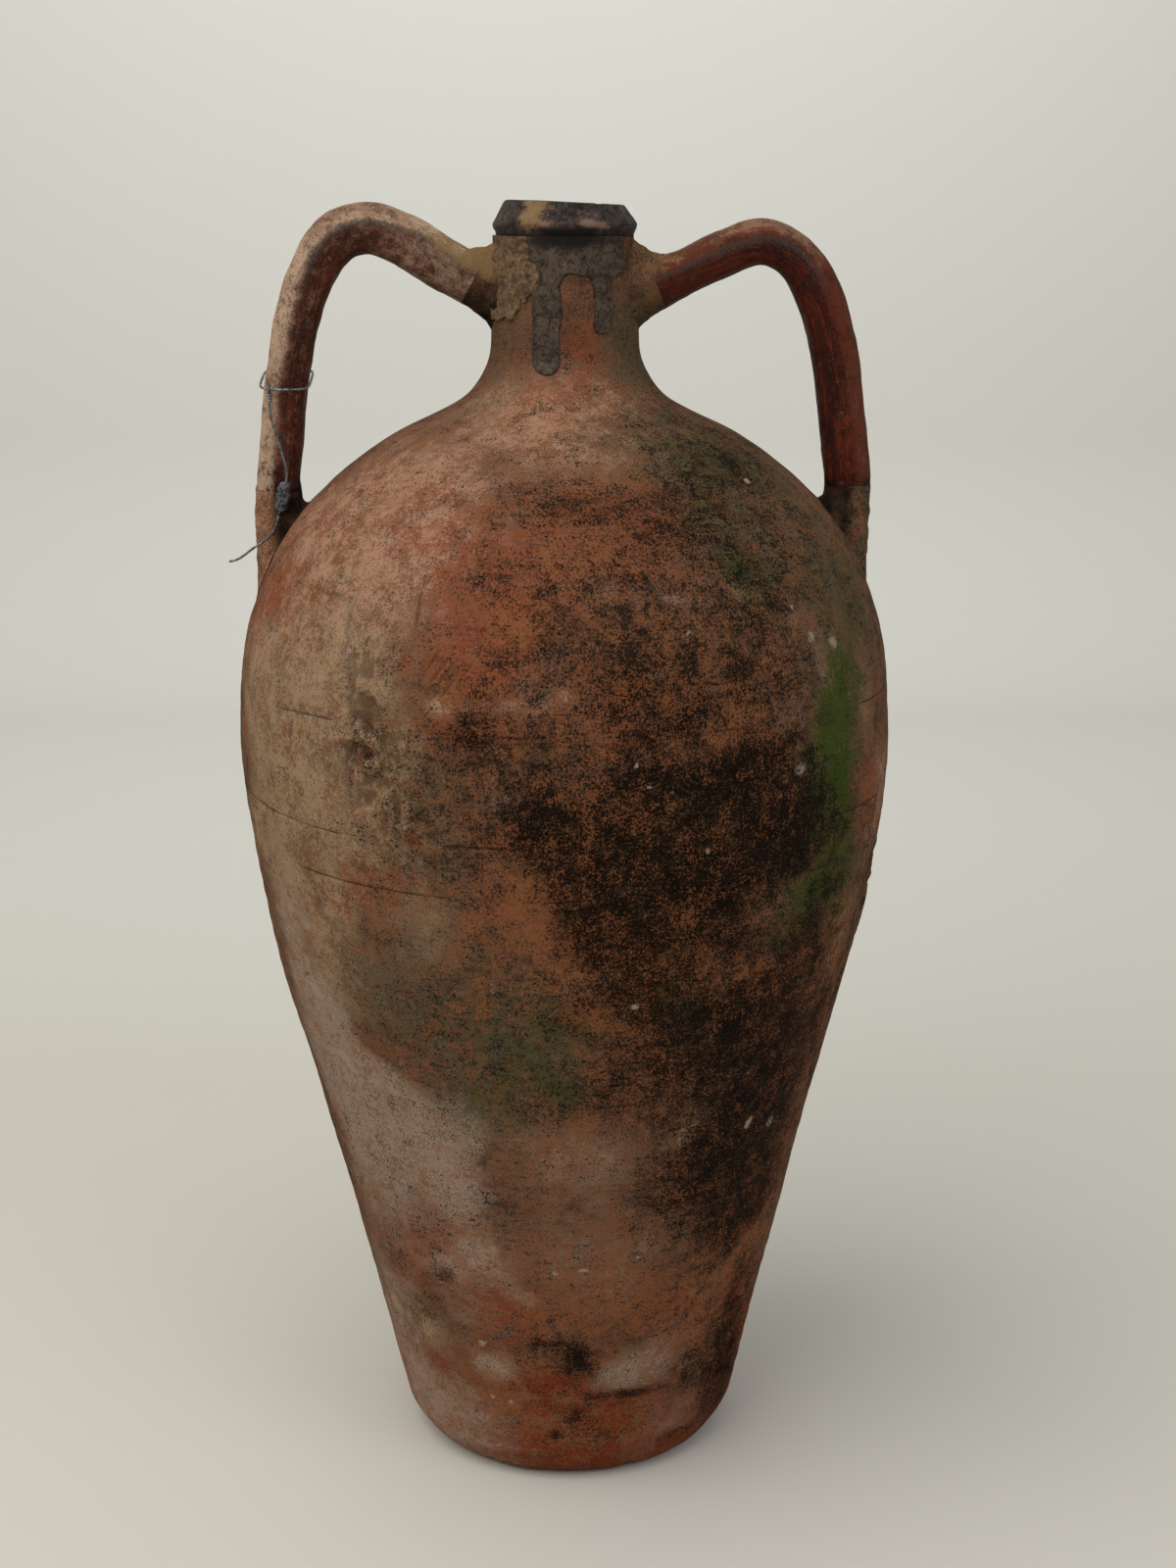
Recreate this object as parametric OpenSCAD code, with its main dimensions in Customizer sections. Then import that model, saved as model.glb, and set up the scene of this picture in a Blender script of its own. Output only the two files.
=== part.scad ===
// Tall two-handled jar of red earthenware for olives or oil. Its body is raised in courses
// of clay that are luted one on the other with slip. Each strap handle is luted to the neck
// and the shoulder with a collar of clay. Dark pitch has run down the neck, and a binding
// wire with a lead seal hangs from the left handle.
// Millimetres. +Z is up, the jar's axis is Z, the foot stands on Z = 0, the front faces -Y.

/* [Overall] */
// Height from the ground to the rim
jar_h = 700; // [680:1:720]
// Thickness of the clay wall, square to its surface
wall_t = 10.5; // [8.5:0.5:12]
// Rise of the lap in each joint of the body, from the outside to the inside
lap_h = 8; // [3:1:12]

/* [Foot] */
// Radius of the flat face that the jar stands on
foot_face_r = 83; // [78:0.5:87]
// Widest radius of the foot disc
foot_r = 96; // [92:0.5:99]
// Thickness of the foot disc, which is also the jar's floor
foot_t = 22; // [16:1:30]

/* [Body outline] */
// Height of the measured place above the foot
low_z = 110; // [90:1:130]
// Radius there
low_r = 116.3; // [113:0.1:119]
// Height of the measured place on the lower wall
hip_z = 210; // [195:1:225]
// Radius there
hip_r = 140.6; // [137:0.1:144]
// Height of the measured place below the belly
flank_z = 320; // [305:1:335]
// How much smaller the radius is there than at the widest place
flank_inset = 11.2; // [8:0.1:14]
// Drop from the rim to the widest place
belly_drop = 275; // [265:1:285]
// Widest radius of the jar
belly_r = 179; // [176:0.5:184]
// Drop from the rim to where the shoulder starts to turn in
turn_drop = 215; // [208:1:222]
// How much smaller the radius is there than at the widest place
turn_inset = 8.5; // [6:0.5:11]
// Drop from the rim to the measured place on the shoulder
shoulder_drop = 160; // [154:1:165]
// How much smaller the radius is there than at the widest place
shoulder_inset = 39; // [35:0.5:43]
// Drop from the rim to the measured place on the top of the shoulder
crown_drop = 124; // [119:1:129]
// Radius there
crown_r = 95.5; // [92:0.5:99]
// Drop from the rim to where the shoulder runs into the neck
nape_drop = 102; // [98:1:106]
// Radius there
nape_r = 54; // [51:0.5:57]

/* [Courses] */
// Drop from the rim to the joint on top of the belly band
band_top_drop = 252; // [244:1:260]
// Height of the belly band
band_h = 56; // [48:1:64]
// Height of the joining coil under it
coil_h = 26; // [20:1:34]
// Drop from the rim to the joint at the foot of the neck
neck_joint_drop = 94; // [90:1:97]

/* [Neck and mouth] */
// Drop from the rim to the bend at the foot of the neck
neck_bend_drop = 88; // [84:0.5:90]
// Radius there
neck_bend_r = 43.5; // [42.5:0.5:45]
// Drop from the rim to the slimmest part below the handles
neck_drop = 60; // [54:1:66]
// Outer radius of the neck there
neck_r = 39; // [38:0.1:40]
// Outer radius in the groove under the lip
groove_r = 36.5; // [35.5:0.1:37.5]
// Depth of the lip, from the rim down to the groove
lip_h = 18; // [15:0.5:22]
// Widest radius of the lip
lip_r = 38.2; // [37.7:0.1:40]
// Depth of the lip's widest place below the rim
lip_swell_drop = 11.5; // [9:0.5:13]
// Outer radius of the flat rim
rim_r = 31.3; // [30.5:0.1:33]
// Radius of the round mouth, which takes a stopper
mouth_r = 26.5; // [24.5:0.1:27.5]
// Length of the straight mouth, from the rim down
mouth_len = 74; // [60:1:78]
// Worn round on the inner edge of the rim
mouth_wear = 2; // [1:0.5:3]

/* [Handles] */
// Breadth of each strap, front to back
strap_b = 29; // [26:0.5:32]
// Thickness of the strap over the arch of the left handle
left_arch_t = 27.5; // [24:0.5:30]
// Thickness of the strap down the leg of the left handle
left_leg_t = 23.2; // [21:0.2:27]
// Thickness of the strap over the arch of the right handle
right_arch_t = 24.4; // [22:0.2:28]
// Thickness of the strap down the leg of the right handle
right_leg_t = 25.4; // [22:0.2:28]
// Drop from the rim to the middle of the left handle's root on the neck
left_root_drop = 41.5; // [38:0.5:46]
// Drop from the rim to the middle of the strap at the top of the left arch
left_peak_drop = 14.3; // [13:0.1:20]
// Drop from the rim to the middle of the right handle's root on the neck
right_root_drop = 43.5; // [40:0.5:48]
// Drop from the rim to the middle of the strap at the top of the right arch
right_peak_drop = 21.6; // [18:0.1:26]
// Distance of the left handle's foot inside the radius where the shoulder starts to turn in
left_foot_inset = 14.7; // [12:0.1:18]
// Distance of the right handle's foot inside that radius
right_foot_inset = 17.1; // [14:0.1:20]
// Distance of a handle's root end from the neck
root_gap = 9.5; // [8:0.5:12]
// Height of a handle's foot end above the shoulder's surface
foot_gap = 11; // [8:0.5:16]
// Radius of the round root end
root_end_r = 14; // [13:0.1:14.4]
// Radius of the round foot end
foot_end_r = 12.5; // [12:0.1:13.5]

/* [Luting collars] */
// How far a root collar's radius flares out by its far end in the neck
root_flare = 11; // [6:0.5:12]
// How far a foot collar's radius flares out by its far end in the shoulder
foot_flare = 1; // [0:0.5:3]

/* [Neck coating] */
// Thickness of the dark pitch run
pitch_t = 1.2; // [0.8:0.1:2]
// Thickness of the crust of lime mortar
mortar_t = 2.4; // [1.5:0.1:3.5]
// Drop from the rim to the lower edge of the pitch band
band_drop = 39; // [34:0.5:44]
// Drop from the rim to the tip of the long run
long_run_drop = 89; // [70:1:91]
// Width of the long run
long_run_w = 15; // [11:0.5:17]
// Drop from the rim to the tip of the short run
short_run_drop = 68; // [55:1:80]
// Width of the short run
short_run_w = 9.2; // [7:0.2:11]

/* [Binding wire] */
// Diameter of the wire
wire_d = 1.4; // [1.2:0.1:1.8]
// Drop from the rim to the front stretch of the loop
loop_drop = 97.5; // [92:0.5:105]
// Rise of the loop from its front stretch to the back of the handle
loop_rise = 8; // [0:0.5:12]
// Clearance of the loop from the strap at its sides
loop_side_gap = 0.9; // [0.7:0.1:1.5]
// How far the loop's wire beds into the back of the strap that it hangs on
loop_bed = 0.02; // [0:0.01:0.05]
// Distance of the loop's front stretch from the middle of the strap
loop_front_y = 18; // [18:0.5:20]
// Clearance of the eye round the loop
eye_gap = 0.35; // [0.3:0.05:0.6]
// Distance of the eye from the left end of the loop
eye_inset = 5.6; // [4.8:0.1:8]

/* [Lead seal] */
// Length of the seal
seal_len = 16.4; // [14:0.2:18]
// Width of the seal
seal_w = 7.4; // [6:0.2:9]
// Thickness of the seal between its pressed faces
seal_t = 5.2; // [4.4:0.1:5.4]

/* [Hidden] */
$fn = 96;

foot_color = [0.56, 0.28, 0.19];
wall_color = [0.42, 0.27, 0.21];
coil_color = [0.38, 0.23, 0.18];
band_color = [0.46, 0.27, 0.20];
dome_color = [0.55, 0.33, 0.25];
neck_color = [0.50, 0.34, 0.27];
rim_color = [0.22, 0.17, 0.17];
left_color = [0.56, 0.42, 0.34];
right_color = [0.50, 0.25, 0.18];
luting_color = [0.36, 0.28, 0.22];
pitch_color = [0.27, 0.25, 0.23];
mortar_color = [0.56, 0.46, 0.30];
wire_color = [0.36, 0.37, 0.38];
lead_color = [0.30, 0.31, 0.33];

// Cubic curve through knots [x, value]. Its slope at a knot is the mean of the slopes of the
// two chords that meet there, each weighted by the other chord's length.
function chord(k, i) = (k[i + 1][1] - k[i][1]) / (k[i + 1][0] - k[i][0]);
function run(k, i) = k[i + 1][0] - k[i][0];
function slope(k, i) =
    i == 0 ? chord(k, 0) :
    i == len(k) - 1 ? chord(k, i - 1) :
    (chord(k, i - 1) * run(k, i) + chord(k, i) * run(k, i - 1)) / (run(k, i - 1) + run(k, i));
function span_at(k, x, i = 0) = i >= len(k) - 2 || x < k[i + 1][0] ? i : span_at(k, x, i + 1);
function curve(k, x) =
    let (i = span_at(k, x), h = run(k, i), t = (x - k[i][0]) / h)
    (2 * t ^ 3 - 3 * t ^ 2 + 1) * k[i][1] + (t ^ 3 - 2 * t ^ 2 + t) * h * slope(k, i)
    + (3 * t ^ 2 - 2 * t ^ 3) * k[i + 1][1] + (t ^ 3 - t ^ 2) * h * slope(k, i + 1);

// Outer surface: the radius at each height, sampled once so that every piece that meets the
// jar meets the same facets
groove_z = jar_h - lip_h;
nape_z = jar_h - nape_drop;
crown_z = jar_h - crown_drop;
belly_z = jar_h - belly_drop;
turn_r = belly_r - turn_inset;
outline_knots = [
    [foot_t, foot_r], [low_z, low_r], [hip_z, hip_r], [flank_z, belly_r - flank_inset],
    [belly_z, belly_r],
    [jar_h - turn_drop, turn_r], [jar_h - shoulder_drop, belly_r - shoulder_inset],
    [crown_z, crown_r], [nape_z, nape_r], [jar_h - neck_bend_drop, neck_bend_r],
    [jar_h - neck_drop, neck_r], [groove_z, groove_r]
];
body_steps = 96;
neck_steps = 36;
heights = concat(
    [for (i = [0:body_steps - 1]) foot_t + (nape_z - foot_t) * i / body_steps],
    [for (i = [0:neck_steps]) nape_z + (groove_z - nape_z) * i / neck_steps]
);
outer_table = [for (z = heights) [z, curve(outline_knots, z)]];
function outer_r(z) = lookup(z, outer_table);

// Inner surface: the outer one moved in by the wall, square to the surface, and the straight
// mouth above it
mouth_foot_z = jar_h - mouth_len;
tangent_step = 0.5;
function outer_slope(z) =
    (curve(outline_knots, min(z + tangent_step, groove_z)) - curve(outline_knots, z))
    / max(min(z + tangent_step, groove_z) - z, 0.001);
inner_table = [
    for (p = outer_table)
        let (s = outer_slope(p[0]), n = sqrt(1 + s * s), z = p[0] + wall_t * s / n)
            if (z > foot_t) [z, p[1] - wall_t / n]
];
function inner_r(z) = z >= mouth_foot_z ? mouth_r : max(mouth_r, lookup(z, inner_table));

function between(list, low, high) = [for (z = list) if (z > low + 0.01 && z < high - 0.01) z];
function flip(list) = [for (i = [len(list) - 1:-1:0]) list[i]];
function outer_edge(low, high) =
    [for (z = concat([low], between(heights, low, high), [high])) [outer_r(z), z]];
inner_heights = concat([for (p = inner_table) if (p[0] < mouth_foot_z) p[0]], [mouth_foot_z]);
function inner_edge(low, high) =
    [for (z = concat([low], between(inner_heights, low, high), [high])) [inner_r(z), z]];

// Heights of the joints between the courses, from the top down
neck_joint_z = jar_h - neck_joint_drop;
band_top_z = jar_h - band_top_drop;
coil_top_z = band_top_z - band_h;
wall_top_z = coil_top_z - coil_h;

// One course of the wall. Its joint faces are cones that rise from the outside to the inside.
module course(low, high, low_lap, high_lap) {
    rotate_extrude()
        polygon(concat(outer_edge(low, high), flip(inner_edge(low + low_lap, high + high_lap))));
}

// Solid that fills the jar up to its outer surface between two heights, to seat pieces on it
module filled(low, high) {
    rotate_extrude()
        polygon(concat([[0, low]], outer_edge(low, high), [[0, high]]));
}

module base_disc() {
    edge_r = foot_r - foot_face_r;
    edge_steps = 8;
    edge_h = min(edge_r, foot_t - 2);
    color(foot_color)
        rotate_extrude()
            polygon(concat(
                [[0, 0], [foot_face_r, 0]],
                [for (i = [1:edge_steps])
                    let (a = 90 * i / edge_steps)
                        [foot_face_r + edge_r * sin(a), edge_h * (1 - cos(a))]],
                [[foot_r, foot_t], [0, foot_t]]
            ));
}

module lower_wall() {
    color(wall_color) course(foot_t, wall_top_z, 0, lap_h);
}

module joining_coil() {
    color(coil_color) course(wall_top_z, coil_top_z, lap_h, lap_h);
}

module belly_band() {
    color(band_color) course(coil_top_z, band_top_z, lap_h, lap_h);
}

module shoulder_dome() {
    color(dome_color) course(band_top_z, neck_joint_z, lap_h, lap_h);
}

// Lap of the rim's joint, which is shallower because the wall there is narrow
rim_lap_h = lap_h / 2;

module neck() {
    color(neck_color) course(neck_joint_z, groove_z, lap_h, rim_lap_h);
}

module rim_collar() {
    wear_steps = 4;
    color(rim_color)
        rotate_extrude()
            polygon(concat(
                [[groove_r, groove_z], [lip_r - 0.3, jar_h - lip_swell_drop - 2.5],
                 [lip_r, jar_h - lip_swell_drop], [rim_r + 1, jar_h - 0.8], [rim_r, jar_h]],
                [for (i = [0:wear_steps])
                    let (a = 90 * i / wear_steps)
                        [mouth_r + mouth_wear * (1 - sin(a)), jar_h - mouth_wear * (1 - cos(a))]],
                [[mouth_r, groove_z + rim_lap_h]]
            ));
}

// Height of the outer surface above the belly at a given radius
crown_table = flip([for (p = outer_table) if (p[0] > belly_z) [p[1], p[0]]]);
function shoulder_height(r) = lookup(r, crown_table);

// Route of a handle in the plane of the jar's axis, from its root on the neck to its foot on
// the shoulder. rise holds [share of the reach, share of the climb from root to peak], fall
// holds [share of the reach, share of the height from the foot to the peak].
left_rise_shares = [[0.24, 0.37], [0.39, 0.77], [0.55, 1]];
left_fall_shares = [
    [0.70, 0.965], [0.81, 0.84], [0.895, 0.645], [0.947, 0.42], [0.979, 0.185], [0.997, 0.066]
];
right_rise_shares = [[0.22, 0.29], [0.36, 0.65], [0.545, 1]];
right_fall_shares = [
    [0.673, 0.973], [0.78, 0.89], [0.873, 0.717], [0.932, 0.505], [0.972, 0.248], [0.9965, 0.06]
];
function route(root_drop, peak_drop, foot_inset, rise, fall) =
    let (
        start = [neck_r + root_gap, jar_h - root_drop],
        top = jar_h - peak_drop,
        foot_mid_r = turn_r - foot_inset,
        foot_z = shoulder_height(foot_mid_r - foot_end_r) + foot_gap,
        reach = foot_mid_r - neck_r
    )
    concat(
        [start],
        [for (p = rise) [neck_r + p[0] * reach, start[1] + p[1] * (top - start[1])]],
        [for (p = fall) [neck_r + p[0] * reach, foot_z + p[1] * (top - foot_z)]],
        [[foot_mid_r, foot_z]]
    );
left_route = route(
    left_root_drop, left_peak_drop, left_foot_inset, left_rise_shares, left_fall_shares
);
right_route = route(
    right_root_drop, right_peak_drop, right_foot_inset, right_rise_shares, right_fall_shares
);

// Half thickness and half breadth at each knot of a route, and how square the section is:
// 2 is an ellipse, more is squarer. The ends are round.
function strap_sizes(arch_t, leg_t) =
    let (a = arch_t / 2, m = (arch_t + leg_t) / 4, g = leg_t / 2, b = strap_b / 2, e = 2.6)
    [
        [root_end_r, root_end_r, 2], [a, b, 2.3], [a, b, e], [a, b, e], [a, b, e], [m, b, e],
        [g, b, e], [g, b, e], [g, b, e], [g, b, 2.3], [foot_end_r, foot_end_r, 2]
    ];

// Point u of a smooth curve through the points of a list, one unit of u for each span
function knot(p, i) =
    i < 0 ? 2 * p[0] - p[1] :
    i > len(p) - 1 ? 2 * p[len(p) - 1] - p[len(p) - 2] :
    p[i];
function along(p, u) =
    let (i = min(floor(u), len(p) - 2), t = u - i,
         a = knot(p, i - 1), b = p[i], c = p[i + 1], d = knot(p, i + 2))
    b + t / 2 * (c - a) + t ^ 2 * (a - 2.5 * b + 2 * c - d / 2) + t ^ 3 * (1.5 * (b - c) + (d - a) / 2);

strap_rings_per_span = 3;
strap_sides = 24;
function signed_power(x, e) = sign(x) * abs(x) ^ e;
function strap_ring(path, sizes, u) =
    let (
        p = along(path, u), s = along(sizes, u),
        tangent_ends = [max(u - 0.01, 0), min(u + 0.01, len(path) - 1)],
        d = along(path, tangent_ends[1]) - along(path, tangent_ends[0]), t = d / norm(d)
    )
    [for (k = [0:strap_sides - 1])
        let (
            a = 360 * k / strap_sides,
            out = s[0] * signed_power(cos(a), 2 / s[2]),
            side = s[1] * signed_power(sin(a), 2 / s[2])
        )
            [p[0] - t[1] * out, side, p[1] + t[0] * out]];

// Closed skin over a list of rings that each have the same number of points
module skin(rings) {
    n = len(rings[0]);
    last = len(rings) - 1;
    points = [for (ring = rings) each ring];
    walls = [
        for (i = [0:last - 1], k = [0:n - 1])
            let (a = i * n + k, b = i * n + (k + 1) % n)
                each [[a, b, b + n], [a, b + n, a + n]]
    ];
    start_cap = [for (k = [n - 1:-1:0]) k];
    end_cap = [for (k = [0:n - 1]) last * n + k];
    polyhedron(points, concat(walls, [start_cap], [end_cap]));
}

module strap(path, sizes) {
    spans = len(path) - 1;
    skin([for (i = [0:spans * strap_rings_per_span]) strap_ring(path, sizes, i / strap_rings_per_span)]);
}

left_sizes = strap_sizes(left_arch_t, left_leg_t);
right_sizes = strap_sizes(right_arch_t, right_leg_t);

module handle_left() {
    color(left_color) mirror([1, 0, 0]) strap(left_route, left_sizes);
}

module handle_right() {
    color(right_color) strap(right_route, right_sizes);
}

// Luting collars. Each is a cone that starts as the handle's round end and runs on into the
// jar, cut off at the jar's outer surface. The sinks are how far the cones run on past it.
root_sink = 16.5;
foot_sink = 18;
function start_way(path) = let (d = along(path, 0) - along(path, 0.01)) d / norm(d);
function end_way(path) =
    let (n = len(path) - 1, d = along(path, n) - along(path, n - 0.01)) d / norm(d);

module collar_cone(at, way, depth, r, flare) {
    translate([at[0], 0, at[1]])
        rotate([0, atan2(way[0], way[1]), 0])
            cylinder(h = depth, r1 = r, r2 = r + flare);
}

module root_collar(path) {
    difference() {
        collar_cone(path[0], start_way(path), root_gap + root_sink, root_end_r, root_flare);
        filled(nape_z + 2, groove_z);
    }
}

module foot_collar(path) {
    end = path[len(path) - 1];
    depth = end[1] - shoulder_height(end[0] + foot_end_r + foot_flare) + foot_sink;
    difference() {
        collar_cone(end, end_way(path), depth, foot_end_r, foot_flare);
        filled(coil_top_z, crown_z);
    }
}

module handle_left_root() {
    color(luting_color) mirror([1, 0, 0]) root_collar(left_route);
}

module handle_left_foot() {
    color(luting_color) mirror([1, 0, 0]) foot_collar(left_route);
}

module handle_right_root() {
    color(luting_color) root_collar(right_route);
}

module handle_right_foot() {
    color(luting_color) foot_collar(right_route);
}

// Coatings on the neck: a skin of even thickness, cut to an outline drawn on the front plane
module neck_skin(low, high, t) {
    edge = outer_edge(low, high);
    rotate_extrude()
        polygon(concat([for (p = edge) [p[0] + t, p[1]]], flip(edge)));
}

module front_stencil(back_y) {
    rotate([90, 0, 0]) translate([0, 0, -back_y]) linear_extrude(height = 2 * nape_r) children();
}

long_run_x = -9.5;
short_run_x = 19.4;
mortar_edge_x = -18;
mortar_drop = 58;
mortar_lobe_r = 8;
mortar_back_y = 12;
coat_top_z = groove_z - 0.1;
coat_reach = nape_r + 5;

module run_outline(x, w, drop) {
    translate([x - w / 2, jar_h - drop + w / 2]) square([w, drop - band_drop]);
    translate([x, jar_h - drop + w / 2]) circle(d = w);
}

module mortar_outline() {
    lobe_z = jar_h - mortar_drop + mortar_lobe_r;
    translate([-coat_reach, lobe_z]) square([mortar_edge_x + coat_reach, mortar_drop]);
    translate([mortar_edge_x - mortar_lobe_r, lobe_z]) circle(r = mortar_lobe_r);
}

module pitch_run() {
    color(pitch_color)
        difference() {
            intersection() {
                neck_skin(jar_h - long_run_drop - 1, coat_top_z, pitch_t);
                front_stencil(0) {
                    translate([-coat_reach, jar_h - band_drop]) square([2 * coat_reach, band_drop]);
                    run_outline(long_run_x, long_run_w, long_run_drop);
                    run_outline(short_run_x, short_run_w, short_run_drop);
                }
            }
            front_stencil(1) mortar_outline();
            root_collar(right_route);
        }
}

module mortar_crust() {
    color(mortar_color)
        difference() {
            intersection() {
                neck_skin(jar_h - mortar_drop - 1, coat_top_z, mortar_t);
                front_stencil(mortar_back_y) mortar_outline();
            }
            mirror([1, 0, 0]) root_collar(left_route);
        }
}

// Binding wire. The loop is a rounded rectangle round the leg of the left handle, tilted so
// that its back is the higher. The eye hangs on its straight front stretch.
wire_r = wire_d / 2;
loop_z = jar_h - loop_drop;
leg_table = flip([
    for (i = [4 * strap_rings_per_span:(len(left_route) - 1) * strap_rings_per_span])
        let (p = along(left_route, i / strap_rings_per_span)) [p[1], p[0]]
]);
strap_x = -lookup(loop_z + loop_rise / 2, leg_table);
loop_half_w = left_leg_t / 2 + loop_side_gap + wire_r;
loop_back_y = strap_b / 2 - loop_bed + wire_r;
loop_depth_flat = loop_front_y + loop_back_y;
loop_tilt = atan2(loop_rise, loop_depth_flat);
loop_depth = norm([loop_rise, loop_depth_flat]);
front_bend_r = 3;
back_bend_r = 6;
eye_x = strap_x - loop_half_w + eye_inset;
eye_ring_r = wire_r + eye_gap + wire_r;
eye_twist_r = 1.3;
eye_twist_top = eye_ring_r + 0.15;

module wire_bar(from, to) {
    d = to - from;
    translate(from)
        rotate([0, acos(d[2] / norm(d)), atan2(d[1], d[0])])
            cylinder(h = norm(d), r = wire_r, $fn = 32);
}

// A quarter bend in the XY plane from turn to turn + 90 degrees
module wire_bend(centre, bend_r, turn) {
    translate(centre)
        rotate([0, 0, turn])
            rotate_extrude(angle = 90) translate([bend_r, 0]) circle(r = wire_r, $fn = 32);
}

module tie_loop() {
    w = loop_half_w;
    f = front_bend_r;
    b = back_bend_r;
    d = loop_depth;
    color(wire_color)
        translate([strap_x, -loop_front_y, loop_z])
            rotate([loop_tilt, 0, 0])
                union() {
                    wire_bar([f - w, 0, 0], [w - f, 0, 0]);
                    wire_bend([w - f, f, 0], f, -90);
                    wire_bar([w, f, 0], [w, d - b, 0]);
                    wire_bend([w - b, d - b, 0], b, 0);
                    wire_bar([w - b, d, 0], [b - w, d, 0]);
                    wire_bend([b - w, d - b, 0], b, 90);
                    wire_bar([-w, d - b, 0], [-w, f, 0]);
                    wire_bend([f - w, f, 0], f, 180);
                }
}

module wire_eye() {
    color(wire_color)
        translate([eye_x, -loop_front_y, loop_z])
            union() {
                rotate([0, 90, 0])
                    rotate_extrude() translate([eye_ring_r, 0]) circle(r = wire_r, $fn = 32);
                translate([0, 0, hanger_points[0][1]])
                    cylinder(h = -hanger_points[0][1] - eye_twist_top, r = eye_twist_r, $fn = 32);
            }
}

// Routes of the hanging wire and of its tail, as [x, z] from the middle of the eye
hanger_points = [
    [0, -6.5], [0, -9], [0.1, -12], [0.5, -15], [1.2, -18], [2, -21], [2.9, -24], [3.8, -27],
    [4.7, -30], [5.6, -33], [6.4, -36], [7.1, -39], [7.7, -42], [8, -44.5], [7.9, -47], [7.4, -49]
];
seal_lean = 14;
seal_top = hanger_points[len(hanger_points) - 1];
seal_way = [-sin(seal_lean), -cos(seal_lean)];
seal_end = seal_top + seal_len * seal_way;
tail_points = [
    [0, 0], [-0.7, -2.8], [-1.4, -5.6], [-2.4, -8.3], [-3.8, -10.8], [-5.6, -13.1], [-7.8, -15.1],
    [-10.2, -16.9], [-12.7, -18.5], [-15.2, -20.2], [-17.6, -22], [-20, -23.8], [-22.5, -25.4],
    [-25.2, -26.5], [-28, -27]
];
wire_sides = 8;

function unit(v) = v / norm(v);
function way_at(p, i) =
    let (n = len(p) - 1)
    i == 0 ? unit(p[1] - p[0]) : i == n ? unit(p[n] - p[n - 1]) : unit(p[i + 1] - p[i - 1]);

// Round wire along points [x, z] that start at a given place, square to first_way and last_way
module wire(start, p, first_way, last_way) {
    n = len(p) - 1;
    translate([eye_x, -loop_front_y, loop_z])
        skin([
            for (i = [0:n])
                let (t = i == 0 ? first_way : i == n ? last_way : way_at(p, i))
                    [for (k = [0:wire_sides - 1])
                        let (a = 360 * k / wire_sides)
                            [start[0] + p[i][0] - t[1] * wire_r * cos(a),
                             wire_r * sin(a),
                             start[1] + p[i][1] + t[0] * wire_r * cos(a)]]
        ]);
}

module hanger_wire() {
    color(wire_color) wire([0, 0], hanger_points, [0, -1], seal_way);
}

module tail_wire() {
    color(wire_color) wire(seal_end, tail_points, seal_way, way_at(tail_points, len(tail_points) - 1));
}

// A lead pellet closed on the wire, round at its ends and pressed flat front and back
module lead_seal() {
    seal_steps = 10;
    end_r = 1.5;
    color(lead_color)
        translate([eye_x + seal_end[0], -loop_front_y, loop_z + seal_end[1]])
            rotate([0, seal_lean, 0])
                intersection() {
                    rotate_extrude()
                        polygon(concat(
                            [[0, 0]],
                            [for (i = [0:seal_steps])
                                let (s = i / seal_steps, c = 2 * s - 1)
                                    [end_r + (seal_w / 2 - end_r) * (1 - c ^ 4) ^ 0.5, seal_len * s]],
                            [[0, seal_len]]
                        ));
                    translate([-seal_w, -seal_t / 2, 0]) cube([2 * seal_w, seal_t, seal_len]);
                }
}

base_disc();
lower_wall();
joining_coil();
belly_band();
shoulder_dome();
neck();
rim_collar();
handle_left();
handle_left_root();
handle_left_foot();
handle_right();
handle_right_root();
handle_right_foot();
pitch_run();
mortar_crust();
tie_loop();
wire_eye();
hanger_wire();
lead_seal();
tail_wire();
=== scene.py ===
import math

import bpy
import numpy as np
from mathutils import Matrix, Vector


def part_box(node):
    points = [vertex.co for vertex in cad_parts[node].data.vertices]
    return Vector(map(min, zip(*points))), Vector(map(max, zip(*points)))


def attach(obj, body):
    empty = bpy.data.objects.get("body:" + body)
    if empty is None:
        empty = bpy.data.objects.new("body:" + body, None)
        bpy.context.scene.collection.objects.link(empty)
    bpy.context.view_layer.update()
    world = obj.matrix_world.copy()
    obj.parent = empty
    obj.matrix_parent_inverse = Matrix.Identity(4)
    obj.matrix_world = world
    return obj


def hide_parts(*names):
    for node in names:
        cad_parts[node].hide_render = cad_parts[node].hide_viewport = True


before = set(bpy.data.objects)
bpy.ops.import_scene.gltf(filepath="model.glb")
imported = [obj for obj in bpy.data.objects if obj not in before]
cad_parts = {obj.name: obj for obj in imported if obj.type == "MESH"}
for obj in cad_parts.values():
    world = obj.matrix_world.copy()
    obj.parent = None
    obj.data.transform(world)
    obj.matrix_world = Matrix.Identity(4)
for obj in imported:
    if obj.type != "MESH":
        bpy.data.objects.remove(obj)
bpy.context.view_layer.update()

# Sizes, in millimetres
# The jar's axis is Z, its front faces -Y. A turn is the angle round the axis, from the front
# towards the viewer's right, in radians.
MM = 0.001
JAR_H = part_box("rim_collar")[1][2] / MM
WALL = 10.5
FOOT_T = 22.0
FOOT_R = 96.0
FOOT_FACE_R = 83.0
OUTLINE = np.array([
    (22, 96), (110, 116.3), (210, 140.6), (320, 167.8), (425, 179), (485, 170.5),
    (540, 140), (576, 95.5), (598, 54), (612, 43.5), (640, 39), (682, 36.5),
])
GROOVE_Z = 682.0
JOINTS = (366.0, 392.0, 448.0, 606.0)
LAP = 8.0
RIM_LAP = 4.0
MOUTH_R = 26.5
MOUTH_FOOT_Z = 626.0
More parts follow.
